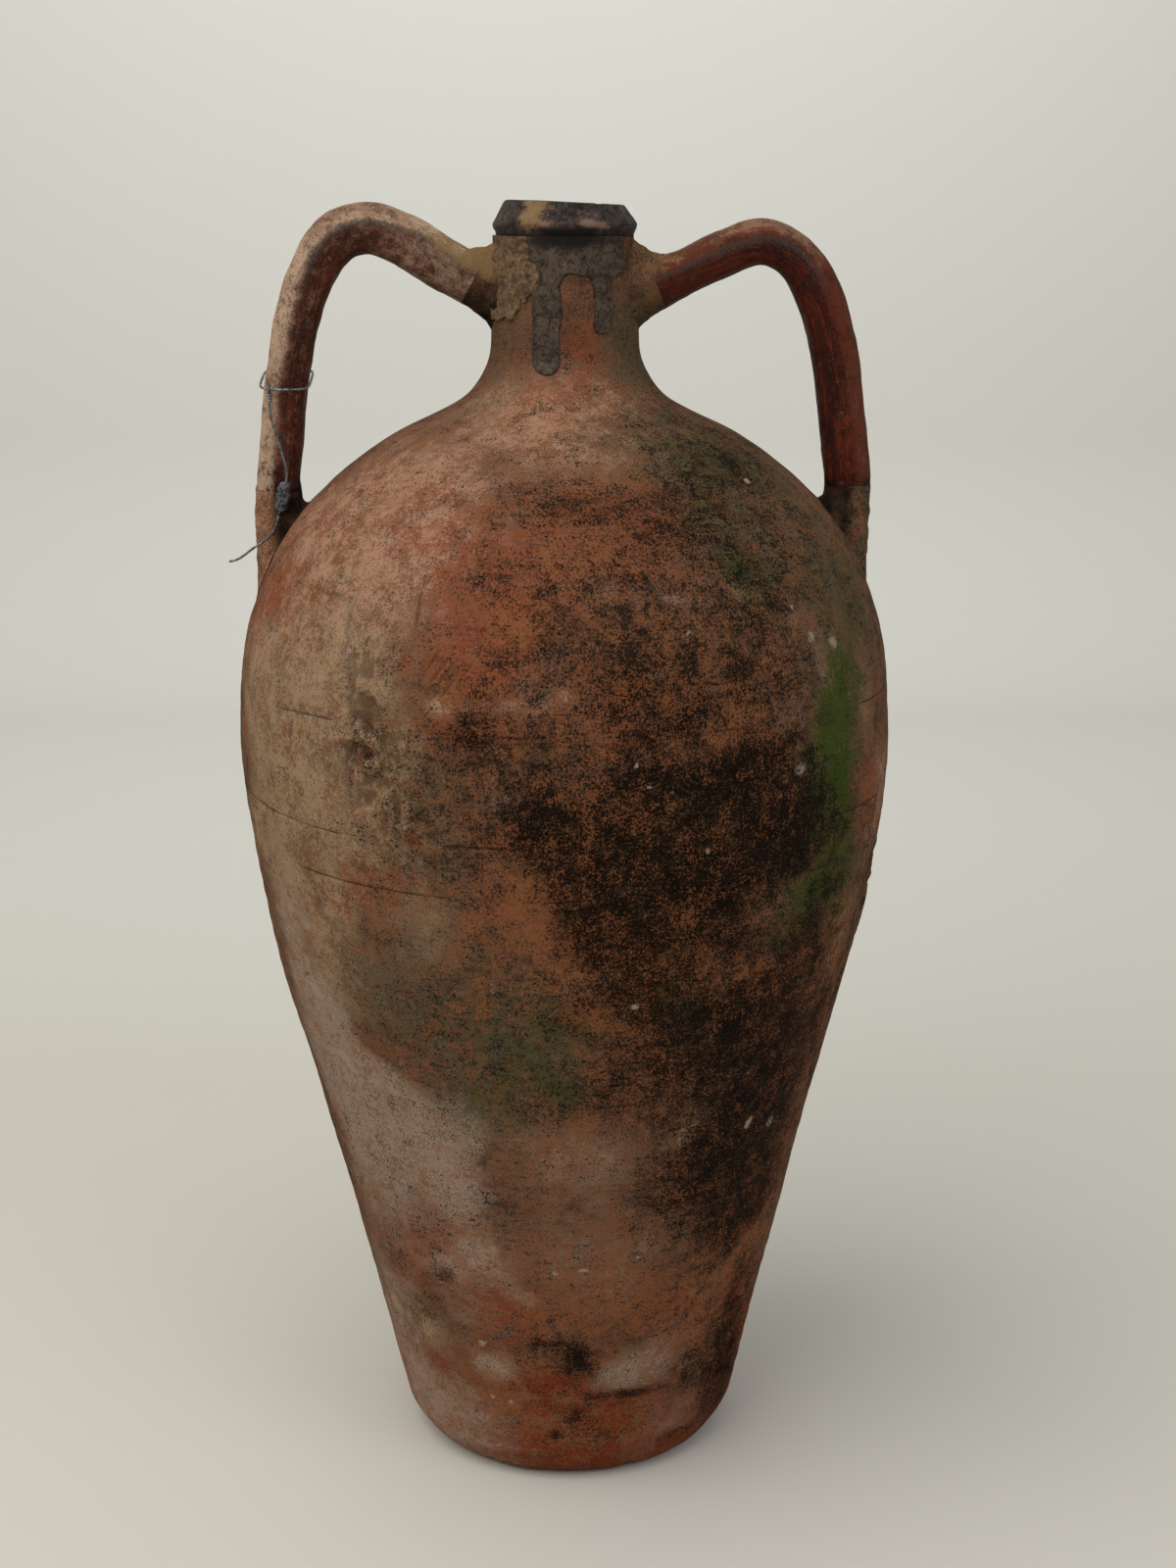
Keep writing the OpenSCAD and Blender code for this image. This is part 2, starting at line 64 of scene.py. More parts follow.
# Sideways lean of the body's sections: (height, shift towards the viewer's right)
LEAN = np.array([
    (0, 1.3), (30, 0.4), (70, 0.1), (150, 0.7), (200, 0), (250, -0.6), (313, -0.9), (370, -0.3),
    (440, -1.2), (540, -0.6), (600, 0), (700, 0),
])
# Middle line of each handle, (distance from the axis, height), from the neck to the shoulder
LEFT_ROUTE = np.array([
    (48.5, 658.5), (67.032, 668.564), (84.552, 679.444), (103.24, 685.7), (120.76, 680.858),
    (133.608, 663.565), (143.536, 636.588), (149.61, 605.46), (153.347, 572.949),
    (155.45, 556.486), (155.8, 547.355),
])
RIGHT_ROUTE = np.array([
    (48.5, 656.5), (64.168, 662.851), (80.184, 670.735), (101.348, 678.4), (115.991, 674.934),
    (128.232, 664.278), (138.871, 642.068), (145.621, 614.851), (150.197, 581.857),
    (153, 557.721), (153.4, 550.018),
])
STRAP_B = 29.0
ROOT_END_R = 14.0
FOOT_END_R = 12.5
WIRE_R = 0.7
EYE = np.array([-157.042, -18.0, 602.5])
HANGER = np.array([
    (0, -6.5), (0, -9), (0.1, -12), (0.5, -15), (1.2, -18), (2, -21), (2.9, -24), (3.8, -27),
    (4.7, -30), (5.6, -33), (6.4, -36), (7.1, -39), (7.7, -42), (8, -44.5), (7.9, -47), (7.4, -49),
])
SEAL_LEAN = math.radians(14)
SEAL_LEN = 16.4
SEAL_W = 7.4
SEAL_T = 5.2
SEAL_WAY = np.array([-math.sin(SEAL_LEAN), -math.cos(SEAL_LEAN)])
SEAL_END = HANGER[-1] + SEAL_LEN * SEAL_WAY
TAIL = np.array([
    (0, 0), (-0.7, -2.8), (-1.4, -5.6), (-2.4, -8.3), (-3.8, -10.8), (-5.6, -13.1), (-7.8, -15.1),
    (-10.2, -16.9), (-12.7, -18.5), (-15.2, -20.2), (-17.6, -22), (-20, -23.8), (-22.5, -25.4),
    (-25.2, -26.5), (-28, -27),
])


# Camera
PHOTO_W, PHOTO_H = 1200, 1600
FOCAL_PX = 2400
CAMERA_PLACE = (0.0, -1.280, 0.704)
CAMERA_DROP = 14.13
CAMERA_YAW = -0.549


def make_camera():
    """Camera at the photo's place: level turn and drop in degrees, focal length from pixels."""
    data = bpy.data.cameras.new("camera")
    data.sensor_fit = "VERTICAL"
    data.sensor_height = 36.0
    data.lens = FOCAL_PX * data.sensor_height / PHOTO_H
    data.clip_start = 0.05
    camera = bpy.data.objects.new("camera", data)
    camera.location = CAMERA_PLACE
    camera.rotation_euler = (math.radians(90 - CAMERA_DROP), 0, math.radians(CAMERA_YAW))
    bpy.context.scene.collection.objects.link(camera)
    bpy.context.scene.camera = camera


# Numbers
def smooth_step(low, high, x):
    """0 below low, 1 above high, and the cubic 3t^2 - 2t^3 between them."""
    t = np.clip((x - low) / (high - low), 0, 1)
    return t * t * (3 - 2 * t)


def knot_curve(knots, x):
    """Cubic through (x, value) knots. Its slope at a knot is the mean of the two chords that
    meet there, each weighted by the other chord's length."""
    kx, ky = knots[:, 0], knots[:, 1]
    step = np.diff(kx)
    chord = np.diff(ky) / step
    slope = np.empty_like(ky)
    slope[0], slope[-1] = chord[0], chord[-1]
    slope[1:-1] = (chord[:-1] * step[1:] + chord[1:] * step[:-1]) / (step[:-1] + step[1:])
    i = np.clip(np.searchsorted(kx, x, side="right") - 1, 0, len(step) - 1)
    h = step[i]
    t = (x - kx[i]) / h
    return ((2 * t**3 - 3 * t**2 + 1) * ky[i] + (t**3 - 2 * t**2 + t) * h * slope[i]
            + (3 * t**2 - 2 * t**3) * ky[i + 1] + (t**3 - t**2) * h * slope[i + 1])


def lattice(cell, seed):
    """A fixed value from -1 to 1 for each whole-numbered cell, from a mix of its numbers."""
    c = cell.astype(np.int64).astype(np.uint64)
    h = (c[..., 0] * np.uint64(0x9E3779B97F4A7C15) + c[..., 1] * np.uint64(0xC2B2AE3D27D4EB4F)
         + c[..., 2] * np.uint64(0x165667B19E3779F9) + np.uint64(seed) * np.uint64(0x27D4EB2F165667C5))
    h ^= h >> np.uint64(29)
    h *= np.uint64(0xBF58476D1CE4E5B9)
    h ^= h >> np.uint64(32)
    return (h & np.uint64(0xFFFFFF)).astype(float) / 0x7FFFFF - 1


def noise(p, size, seed=0):
    """Smooth noise from -1 to 1: lattice values a given size apart, blended by smooth steps."""
    q = p / size
    base = np.floor(q)
    t = q - base
    t = t * t * (3 - 2 * t)
    total = 0
    for corner in np.ndindex(2, 2, 2):
        weight = np.prod(np.where(np.array(corner) == 1, t, 1 - t), axis=-1)
        total = total + weight * lattice(base + np.array(corner), seed)
    return total


def layered_noise(p, size, octaves=3, seed=0):
    """Sum of noises, each half the size and half the strength of the one before."""
    return sum(noise(p, size / 2**k, seed + k) / 2**k for k in range(octaves))


def smooth_path(points, u):
    """Catmull-Rom curve through points, one unit of u for each span."""
    p = np.vstack([2 * points[0] - points[1], points, 2 * points[-1] - points[-2]])
    i = np.clip(np.floor(u).astype(int), 0, len(points) - 2)
    t = (u - i)[:, None]
    a, b, c, d = p[i], p[i + 1], p[i + 2], p[i + 3]
    return b + t / 2 * (c - a) + t**2 * (a - 2.5 * b + 2 * c - d / 2) + t**3 * (1.5 * (b - c) + (d - a) / 2)


# The jar's surface
def outline_r(height):
    """Outer radius of the jar at a height, without wobble."""
    return knot_curve(OUTLINE, np.clip(height, OUTLINE[0, 0], OUTLINE[-1, 0]))


def inner_table():
    """(height, radius) of the inner surface: the outline moved in by the wall, square to it."""
    z = np.linspace(FOOT_T, GROOVE_Z, 260)
    slope = np.gradient(outline_r(z), z)
    n = np.sqrt(1 + slope**2)
    return z + WALL * slope / n, outline_r(z) - WALL / n


INNER_Z, INNER_R = inner_table()


def inner_r(height):
    """Inner radius at a height: the moved outline, or the straight mouth above it."""
    order = np.argsort(INNER_Z)
    r = np.interp(height, INNER_Z[order], INNER_R[order])
    return np.where(height >= MOUTH_FOOT_Z, MOUTH_R, np.maximum(r, MOUTH_R))


def wander(turn, height):
    """How far the joints stray from level: slow waves round the jar, each dying out about 20 mm
    above and below its joint."""
    total = 0
    for k, joint in enumerate(JOINTS[:3]):
        waves = 0.9 * np.sin(2 * turn + k) + 0.6 * np.sin(5 * turn + 2.3 * k) + 0.3 * np.sin(11 * turn - k)
        total = total + waves * np.exp(-(((height - joint) / 11) ** 2))
    return total


def joint_cracks(height, p):
    """Strength of the hairline crack at each joint: full on the joint, gone 0.9 mm away, and
    open only along some stretches, which noise picks."""
    total = 0
    for joint, share, seed in zip(JOINTS[:3], (-0.15, 0.2, -0.3), (3, 5, 7)):
        stretch = smooth_step(-0.1, 0.5, share + noise(p, 42, seed) + 0.6 * noise(p, 12, seed + 20))
        total = total + stretch * smooth_step(0.75, 0.15, np.abs(height - joint))
    return total


def mark_strength(p, rows, soft=1.0):
    """Strength of one kind of mark at each point. Each mark is an ellipse on the surface that
    fades outwards, over a wide band where it is soft, and whose rim is pushed in and out by
    noise; marks that meet add up as independent shares do."""
    turn = np.degrees(np.arctan2(p[..., 0], -p[..., 1]))
    r = np.hypot(p[..., 0], p[..., 1])
    ragged = 1 + 0.30 * layered_noise(p, 34, 4, 51) + 0.12 * noise(p, 5, 55)
    left = np.ones(turn.shape)
    for degrees, height, half_w, half_h, slant, strength in rows:
        across = np.radians((turn - degrees + 180) % 360 - 180) * r
        up = p[..., 2] - height
        c, s = math.cos(math.radians(slant)), math.sin(math.radians(slant))
        far = np.hypot((across * c + up * s) / max(half_w, 1), (up * c - across * s) / max(half_h, 1))
        left *= 1 - strength * smooth_step(1 + 0.8 * soft, 1 - 0.95 * soft, far * ragged)
    return 1 - left


def crumble(p):
    """Crumbly clay, from -0.8 in its hollows to 0.8 on its crumbs, two sizes of them."""
    return smooth_step(-0.2, 0.25, noise(p, 6.5, 35)) + 0.6 * smooth_step(-0.2, 0.3, noise(p, 3.6, 36)) - 0.8


def relief(turn, height, p):
    """How far the hand-made surface stands off the outline: slow lobes, throwing ridges, the
    joints, lumps, grain, scattered pits and rough patches. All of it fades into the neck."""
    body = smooth_step(640, 560, height)
    lobes = -0.8 * np.cos(2 * turn + height / 150) + 0.5 * np.cos(3 * turn - height / 90 + 1)
    ridge_line = height + 1.5 * np.cos(turn) + 1.2 * np.sin(2 * turn + 1)
    ridges = 0.16 * np.sin(ridge_line * 2 * math.pi / 12.5) * (0.5 + 0.5 * noise(p, 90, 5))
    grooves = sum(-depth * (0.5 + 0.5 * noise(p, 80, seed)) * np.exp(-(((height - joint) / 2.6) ** 2))
                  for joint, depth, seed in zip(JOINTS[:3], (0.5, 0.7, 0.35), (41, 43, 45)))
    lumps = 0.55 * layered_noise(p, 46, 3, 11)
    grain = 0.14 * layered_noise(p, 7, 2, 21)
    pits = -0.6 * smooth_step(0.68, 0.9, noise(p, 5.5, 31)) * smooth_step(-0.2, 0.5, noise(p, 60, 33))
    rough = 2.2 * mark_strength(p, MARKS["crater"]) * crumble(p)
    cuts = -0.6 * mark_strength(p, MARKS["scratch"], 0.5) - 0.6 * joint_cracks(height, p)
    return body * (lobes + ridges + grooves + lumps + rough + cuts) + (0.35 + 0.65 * body) * (grain + pits)


def jar_point(turn, height, r):
    """Point at a radius, on a section whose middle leans."""
    shift = np.interp(height, LEAN[:, 0], LEAN[:, 1])
    return np.stack([r * np.sin(turn) + shift, -r * np.cos(turn), height + 0 * turn], axis=-1)


def outer_point(turn, height, out=0.0):
    """Point on the jar's outer surface, moved out by a distance."""
    r = outline_r(height)
    plain = jar_point(turn, height, r)
    high = height + wander(turn, height)
    return jar_point(turn, high, outline_r(high) + relief(turn, height, plain) + out)


def front_first(sides):
    """Turns round the jar, closed on themselves: closer together at the front than at the back."""
    s = np.linspace(-math.pi, math.pi, sides, endpoint=False)
    return s - 0.3 * np.sin(s)


def course_rows(low, high, step):
    """Heights of a course's rows: even steps along the outline, with close rows at both ends so
    that the joint's edge stays sharp and its crack narrow."""
    z = np.linspace(low, high, 600)
    length = np.concatenate([[0], np.cumsum(np.hypot(np.diff(z), np.diff(outline_r(z))))])
    even = np.linspace(0, length[-1], int(length[-1] / step))
    even = even[(even > 1.8) & (even < length[-1] - 1.8)]
    edge = np.array([0, 0.05, 0.4, 0.8, 1.3])
    return np.interp(np.concatenate([edge, even, length[-1] - edge[::-1]]), length, z)


# Meshes
def add_mesh(name, points, loops, sizes, body, stands_for):
    """A piece from points in mm and faces as one run of point numbers and a size for each face.
    The faces are turned round where the closed skin comes out with a negative volume."""
    starts = np.concatenate([[0], np.cumsum(sizes)[:-1]])
    first, second, third = (points[loops[starts + k]] for k in range(3))
    volume = np.einsum("ij,ij->i", first, np.cross(second, third)).sum()
    quad = sizes == 4
    fourth = points[loops[starts[quad] + 3]]
    volume += np.einsum("ij,ij->i", first[quad], np.cross(third[quad], fourth)).sum()
    mesh = bpy.data.meshes.new(name)
    mesh.vertices.add(len(points))
    mesh.vertices.foreach_set("co", (points * MM).astype(np.float32).ravel())
    mesh.loops.add(len(loops))
    if volume < 0:
        ends = starts + sizes
        turned = np.repeat(ends + starts - 1, sizes) - np.arange(len(loops))
        loops = loops[turned]
    mesh.loops.foreach_set("vertex_index", loops.astype(np.int32))
    mesh.polygons.add(len(sizes))
    mesh.polygons.foreach_set("loop_start", starts.astype(np.int32))
    mesh.polygons.foreach_set("use_smooth", np.ones(len(sizes), dtype=bool))
    mesh.update(calc_edges=True)
    piece = bpy.data.objects.new(name, mesh)
    bpy.context.scene.collection.objects.link(piece)
    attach(piece, body)
    if stands_for:
        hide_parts(*stands_for)
    return piece


def grid_faces(rows, sides, wrap_rows):
    """Quads between neighbouring points of a grid that is closed round its sides."""
    i = np.arange(rows if wrap_rows else rows - 1)[:, None]
    k = np.arange(sides)[None, :]
    a, b = i * sides + k, i * sides + (k + 1) % sides
    j = (i + 1) % rows
    return np.stack([a, b, j * sides + (k + 1) % sides, j * sides + k], axis=-1).reshape(-1, 4)


def ring_piece(name, grid, body, stands_for):
    """A closed ring: a grid of points that closes both along its rows and round its sides."""
    quads = grid_faces(len(grid), grid.shape[1], True)
    return add_mesh(name, grid.reshape(-1, 3), quads.ravel(), np.full(len(quads), 4), body, stands_for)


def tube_piece(name, grid, body, stands_for):
    """A closed tube: rows of points round it, with a fan to a middle point at each end."""
    rows, sides = grid.shape[:2]
    quads = grid_faces(rows, sides, False)
    points = np.vstack([grid.reshape(-1, 3), grid[0].mean(axis=0), grid[-1].mean(axis=0)])
    k = np.arange(sides)
    start = np.stack([np.full(sides, rows * sides), (k + 1) % sides, k], axis=-1)
    last = (rows - 1) * sides
    end = np.stack([np.full(sides, rows * sides + 1), last + k, last + (k + 1) % sides], axis=-1)
    loops = np.concatenate([quads.ravel(), start.ravel(), end.ravel()])
    sizes = np.concatenate([np.full(len(quads), 4), np.full(2 * sides, 3)])
    return add_mesh(name, points, loops, sizes, body, stands_for)


def add_attribute(piece, name, values):
    """Stores one number for each point of a piece."""
    layer = piece.data.attributes.get(name) or piece.data.attributes.new(name, "FLOAT", "POINT")
    layer.data.foreach_set("value", np.ascontiguousarray(values, dtype=np.float32).ravel())


def piece_points(piece):
    """The piece's points in mm."""
    flat = np.empty(len(piece.data.vertices) * 3, dtype=np.float32)
    piece.data.vertices.foreach_get("co", flat)
    return flat.reshape(-1, 3).astype(float) / MM


# Marks
# Places of the marks on the fired clay, by kind. Each row is: degrees round from the front,
# height, half width along the surface and half height in mm, slant in degrees, and strength.
MARKS = {
    "tan": (
        (-39, 531, 63, 34, 0, 1), (-52, 509, 48, 26, 0, 0.8), (-43, 571, 61, 16, 20, 0.55),
        (-8, 592, 41, 11, 0, 0.7), (-73, 521, 69, 20, 0, 0.6), (-40, 470, 38, 24, 0, 0.45),
        (-20, 462, 11, 7, 0, 1), (-14, 462, 9, 4.2, 0, 0.8), (-6, 465, 13, 5, 0, 0.9),
        (0, 469, 5, 4.3, 0, 1), (7, 515, 6, 4.0, 0, 0.9), (12, 514, 4.9, 4.0, 0, 0.7),
        (20, 512, 9, 2.7, -8, 0.9), (25, 510, 3.7, 3.0, 0, 0.9), (32, 512, 5, 2.6, 0, 0.8),
        (34, 511, 6, 2.6, 0, 0.7), (37, 512, 3.7, 3.1, 0, 0.8), (46, 500, 14, 3.4, 15, 0.6),
        (-10, 417, 12, 8, 15, 0.6), (51, 480, 14, 13, -15, 0.5), (49, 466, 9, 11, -10, 0.6),
        (70, 389, 20, 30, 0, 0.8), (56, 312, 46, 21, 50, 0.7), (30, 230, 20, 6, 38, 0.9),
        (24, 226, 12, 4.4, 38, 0.8), (33, 255, 6, 4.9, 0, 0.9), (53, 205, 16, 6, 50, 0.5),
        (-4, 218, 31, 24, 0, 0.4), (7, 224, 31, 18, 0, 0.4), (6, 149, 47, 45, 0, 0.45),
        (29, 172, 24, 26, 0, 0.4), (15, 287, 26, 29, 0, 0.3), (-47, 343, 22, 29, 0, 0.6),
        (-64, 133, 20, 47, 0, 0.5), (-65, 453, 32, 43, 0, 0.5), (62, 455, 15, 29, 0, 0.5),
        (-58, 497, 58, 30, 0, 0.8), (-38, 558, 44, 16, 20, 0.5), (-48, 337, 30, 35, 0, 0.5),
        (-33, 66, 33, 43, 0, 0.4), (-30, 533, 50, 30, 0, 0.5), (14, 606, 47, 14, 0, 0.5),
        (5, 586, 45, 17, 0, 0.5), (-70, 11, 102, 43, 0, 0.5), (-49, 510, 82, 43, 0, 0.9),
        (8, 582, 45, 21, 0, 0.5), (-61, 19, 46, 37, 0, 0.5), (-3, 500, 24, 13, 0, 0.3),
        (-4, 368, 19, 23, 0, 0.4),
    ),
    "red": (
        (-14, 513, 39, 35, 0, 0.7), (-3, 540, 43, 26, 0, 0.55), (13, 544, 35, 21, 0, 0.55),
        (-8, 496, 18, 23, 0, 1), (-16, 482, 23, 18, 0, 0.9), (-19, 450, 30, 14, 0, 0.6),
        (-5, 452, 28, 10, 0, 0.5), (-70, 502, 45, 21, 0, 1), (-59, 540, 50, 17, 0, 0.35),
        (5, 478, 33, 23, 0, 0.4), (15, 454, 29, 19, 0, 0.45), (-25, 394, 6, 4.1, 0, 0.9),
        (-34, 367, 20, 14, 0, 0.7), (-42, 349, 14, 7, 0, 0.5), (-6, 396, 14, 8, 0, 0.6),
        (64, 393, 19, 28, 0, 0.7), (-33, 156, 27, 24, 0, 1), (-49, 130, 21, 29, 0, 0.6),
        (-19, 109, 28, 19, 0, 0.9), (-4, 120, 21, 17, 0, 0.5), (-11, 55, 50, 28, 0, 1),
        (-44, 45, 39, 25, 0, 0.9), (21, 35, 53, 20, 0, 1), (-6, 28, 66, 17, 0, 1),
        (36, 97, 34, 42, 0, 0.5), (16, 120, 33, 33, 0, 0.5), (55, 121, 19, 49, 0, 0.6),
        (-10, 603, 21, 19, 0, 0.5), (16, 623, 16, 20, 0, 0.6), (28, 551, 33, 17, 0, 0.25),
        (-14, 508, 29, 31, 0, 0.6), (-24, 143, 35, 26, 0, 0.6),
    ),
    "olive": (
        (-56, 428, 45, 63, 0, 1), (-41, 436, 32, 45, 0, 0.7), (-55, 364, 45, 35, 0, 0.6),
        (-31, 440, 26, 29, 0, 0.8), (-29, 400, 28, 16, 0, 0.7), (-24, 364, 23, 26, 0, 0.7),
        (-47, 310, 30, 25, 0, 0.7), (-50, 601, 24, 9, 30, 0.6), (-48, 85, 25, 19, 0, 0.9),
        (-66, 80, 27, 34, 0, 0.6), (37, 57, 16, 17, 0, 0.7), (41, 422, 7, 6, 0, 1),
        (-53, 460, 50, 43, 0, 0.5), (-45, 468, 41, 33, 0, 0.5), (-33, 468, 17, 24, 0, 0.4),
        (-34, 313, 37, 29, 0, 0.4), (-48, 422, 67, 63, 0, 0.9),
    ),
    "drab": (
        (42, 549, 53, 29, 0, 0.9), (41, 571, 53, 20, 0, 0.7), (51, 523, 48, 28, -20, 0.9),
        (70, 502, 51, 29, 0, 0.9), (43, 582, 41, 10, 0, 0.6), (-19, 244, 27, 18, 0, 0.5),
        (-3, 312, 29, 22, 0, 0.4), (-27, 300, 45, 27, -20, 0.9), (-14, 270, 31, 29, 0, 1),
        (-6, 289, 25, 34, 0, 0.8), (-36, 312, 31, 18, -30, 0.6), (-22, 428, 31, 15, 0, 0.5),
        (70, 612, 39, 22, 0, 0.9), (56, 637, 18, 20, 0, 0.8), (-66, 627, 20, 25, 0, 0.5),
        (53, 570, 76, 20, 0, 0.8), (52, 537, 57, 31, 0, 0.8), (53, 588, 42, 7, 0, 0.6),
        (58, 362, 39, 41, 0, 0.5), (50, 461, 26, 29, 0, 0.5),
    ),
    "umber": (
        (-1, 248, 25, 18, 0, 0.6), (11, 328, 25, 22, 0, 0.5), (12, 500, 53, 22, 0, 0.55),
        (4, 500, 19, 31, 0, 0.6), (28, 488, 38, 27, 0, 0.5), (39, 466, 31, 33, 0, 0.5),
        (-10, 522, 24, 10, 0, 0.5), (-3, 492, 11, 18, 0, 0.7), (-12, 435, 53, 14, 0, 0.7),
        (3, 427, 52, 19, 0, 0.7), (-3, 407, 38, 15, 0, 0.7), (-16, 384, 35, 21, 0, 0.5),
        (19, 434, 51, 24, 0, 0.7), (47, 381, 37, 33, 0, 0.5), (13, 374, 60, 31, 0, 0.8),
        (22, 314, 64, 40, 0, 0.7), (12, 270, 31, 24, 0, 0.5), (27, 205, 35, 38, 0, 0.5),
        (-23, 176, 17, 13, 0, 0.3), (59, 92, 32, 46, 0, 0.4), (-56, 140, 23, 51, 0, 0.5),
        (27, 590, 34, 13, 0, 0.3), (37, 558, 31, 16, 0, 0.3), (2, 509, 28, 26, 0, 0.45),
        (-17, 373, 25, 31, 0, 0.4), (-22, 398, 21, 26, 0, 0.4), (2, 500, 19, 18, 0, 0.4),
        (-26, 381, 27, 32, 0, 0.35), (-3, 446, 57, 28, 0, 0.3), (73, 677, 45, 13, 0, 0.8),
        (4, 39, 33, 24, 0, 0.5), (-9, 482, 24, 23, 0, 0.4),
    ),
    "moss": (
        (51, 438, 25, 29, 0, 1), (49, 408, 23, 20, 0, 0.9), (54, 454, 23, 15, 0, 0.8),
        (49, 369, 26, 22, -30, 0.7), (42, 349, 20, 19, -20, 0.55), (39, 334, 14, 11, 0, 0.4),
        (35, 525, 13, 11, 0, 0.55), (34, 546, 24, 8, 0, 0.3), (43, 567, 34, 12, 0, 0.35),
        (61, 496, 25, 21, 0, 0.35), (-6, 280, 20, 26, 0, 0.4), (0, 260, 13, 15, 0, 0.4),
        (20, 314, 12, 14, 0, 0.45), (-21, 244, 22, 12, 0, 0.3), (55, 354, 21, 35, 0, 0.5),
        (50, 429, 16, 26, 0, 0.9),
    ),
    "soot": (
        (31, 412, 36, 25, 0, 1), (37, 384, 31, 21, 0, 0.9), (20, 393, 46, 21, 0, 0.7),
        (14, 425, 26, 6, 0, 0.9), (20, 452, 10, 9, 0, 0.8), (-3, 409, 22, 20, 0, 0.75),
        (5, 391, 29, 20, 0, 0.7), (4, 360, 19, 19, 0, 0.9), (10, 344, 20, 16, 0, 0.6),
        (19, 357, 41, 26, 0, 0.6), (37, 294, 22, 12, 0, 1), (33, 336, 35, 16, 0, 0.5),
        (32, 268, 24, 25, 0, 0.7), (47, 258, 34, 29, -20, 0.9), (45, 224, 32, 34, -15, 0.85),
        (42, 183, 24, 30, 0, 0.95), (59, 187, 25, 42, 0, 0.6), (42, 151, 17, 21, 0, 0.6),
        (12, 316, 30, 22, 0, 0.5), (23, 284, 33, 24, 0, 0.5), (10, 259, 20, 18, 0, 0.4),
        (-15, 456, 10, 13, -20, 0.7), (-5, 466, 6, 2.9, 0, 0.7), (-33, 437, 11, 8, 0, 0.25),
        (3, 85, 9, 13, 30, 1), (19, 58, 20, 3.5, -3, 0.9), (-5, 95, 11, 3.2, 0, 0.6),
        (40, 61, 17, 17, 0, 0.6), (62, 44, 20, 34, 0, 0.8), (55, 83, 14, 42, 0, 0.6),
        (2, 46, 3.3, 7, 0, 0.7), (-4, 32, 2.7, 2.8, 0, 0.8), (41, 19, 15, 5, 0, 0.6),
        (-34, 131, 6, 4.1, 0, 0.5), (-43, 99, 10, 7, 0, 0.5), (-15, 535, 6, 22, 0, 0.3),
        (3, 552, 43, 12, 0, 0.35), (15, 535, 45, 22, 0, 0.3), (27, 470, 38, 23, 0, 0.4),
        (10, 464, 34, 23, 0, 0.35), (72, 340, 27, 39, 0, 0.4), (68, 281, 23, 30, 0, 0.4),
        (26, 407, 59, 31, 0, 0.7), (20, 373, 52, 26, 0, 0.5), (42, 250, 35, 65, -12, 0.8),
        (41, 190, 28, 47, 0, 0.6), (20, 297, 21, 23, 0, 0.4), (20, 393, 51, 26, 0, 0.4),
        (32, 208, 37, 52, -10, 0.5), (49, 570, 53, 15, 0, 0.35), (38, 531, 37, 26, 0, 0.3),
        (31, 410, 34, 31, 0, 0.6), (23, 423, 31, 20, 0, 0.4), (41, 286, 27, 37, 0, 0.6),
        (42, 219, 35, 67, -12, 0.9), (24, 260, 28, 36, 0, 0.4), (20, 383, 36, 57, 0, 0.5),
        (52, 312, 34, 38, 0, 0.4), (36, 283, 25, 37, 0, 0.5), (7, 49, 38, 28, 0, 0.2),
    ),
    "lilac": (
        (-54, 287, 20, 18, 40, 1), (-48, 262, 27, 15, -45, 0.9), (-38, 253, 17, 9, -30, 0.8),
        (-47, 233, 31, 20, -40, 0.8), (-32, 226, 30, 22, -20, 0.7), (-44, 187, 33, 34, 0, 0.8),
        (-27, 189, 18, 26, 0, 0.8), (-31, 202, 36, 26, 0, 0.5), (-19, 145, 21, 8, -40, 0.5),
        (-24, 150, 12, 13, 0, 0.7), (-12, 125, 11, 4.8, -30, 0.4), (-22, 75, 15, 10, 0, 0.9),
        (17, 72, 19, 11, 0, 0.65), (5, 181, 31, 31, 0, 0.12), (24, 77, 26, 21, 0, 0.5),
        (4, 323, 15, 11, 0, 0.25), (13, 210, 26, 19, 0, 0.2), (-18, 342, 11, 16, 0, 0.15),
        (-25, 350, 11, 21, 0, 0.2), (-58, 295, 20, 14, 0, 0.8), (-59, 92, 22, 39, 0, 0.4),
        (-59, 329, 18, 40, 0, 0.6), (-57, 237, 25, 48, 0, 0.7), (-55, 184, 25, 49, 0, 0.6),
        (-59, 259, 41, 41, -30, 0.6), (-29, 234, 29, 19, 0, 0.4), (-53, 25, 47, 31, 0, 0.5),
        (39, 35, 36, 22, 0, 0.35), (-51, 37, 44, 37, 0, 0.5), (-29, 115, 21, 21, 0, 0.35),
        (-28, 157, 24, 27, 0, 0.35),
    ),
    "chalk": (
        (-53, 332, 6, 5, -20, 0.5), (-44, 331, 4.3, 2.6, 0, 0.4), (-19, 313, 4.7, 3.4, 0, 0.35),
        (-13, 316, 1.9, 8, 0, 0.35), (-25, 90, 3.0, 2.4, 0, 0.8), (-24, 54, 2.0, 1.7, 0, 0.8),
        (-18, 53, 1.9, 1.4, 0, 0.8), (-55, 293, 7, 7, 0, 0.6), (-51, 254, 9, 4.2, -45, 0.6),
        (-38, 245, 8, 2.5, -20, 0.6), (0, 468, 2.1, 2.2, 0, 0.5), (53, 560, 1.6, 0.8, 0, 1),
        (21, 496, 1.0, 1.1, 0, 1), (44, 503, 1.0, 0.6, 0, 1), (11, 435, 0.9, 0.7, 0, 1),
        (13, 424, 1.9, 0.7, 20, 0.7), (23, 389, 1.6, 1.5, 0, 0.8), (4, 145, 3.2, 0.9, 0, 0.9),
        (-3, 143, 2.0, 1.8, 0, 0.7), (17, 150, 1.6, 1.5, 0, 0.6), (42, 222, 2.7, 4.0, -30, 0.8),
        (50, 216, 3.1, 4.0, -30, 0.6), (47, 487, 2.8, 3.3, -20, 0.6), (53, 482, 3.2, 2.9, 0, 0.6),
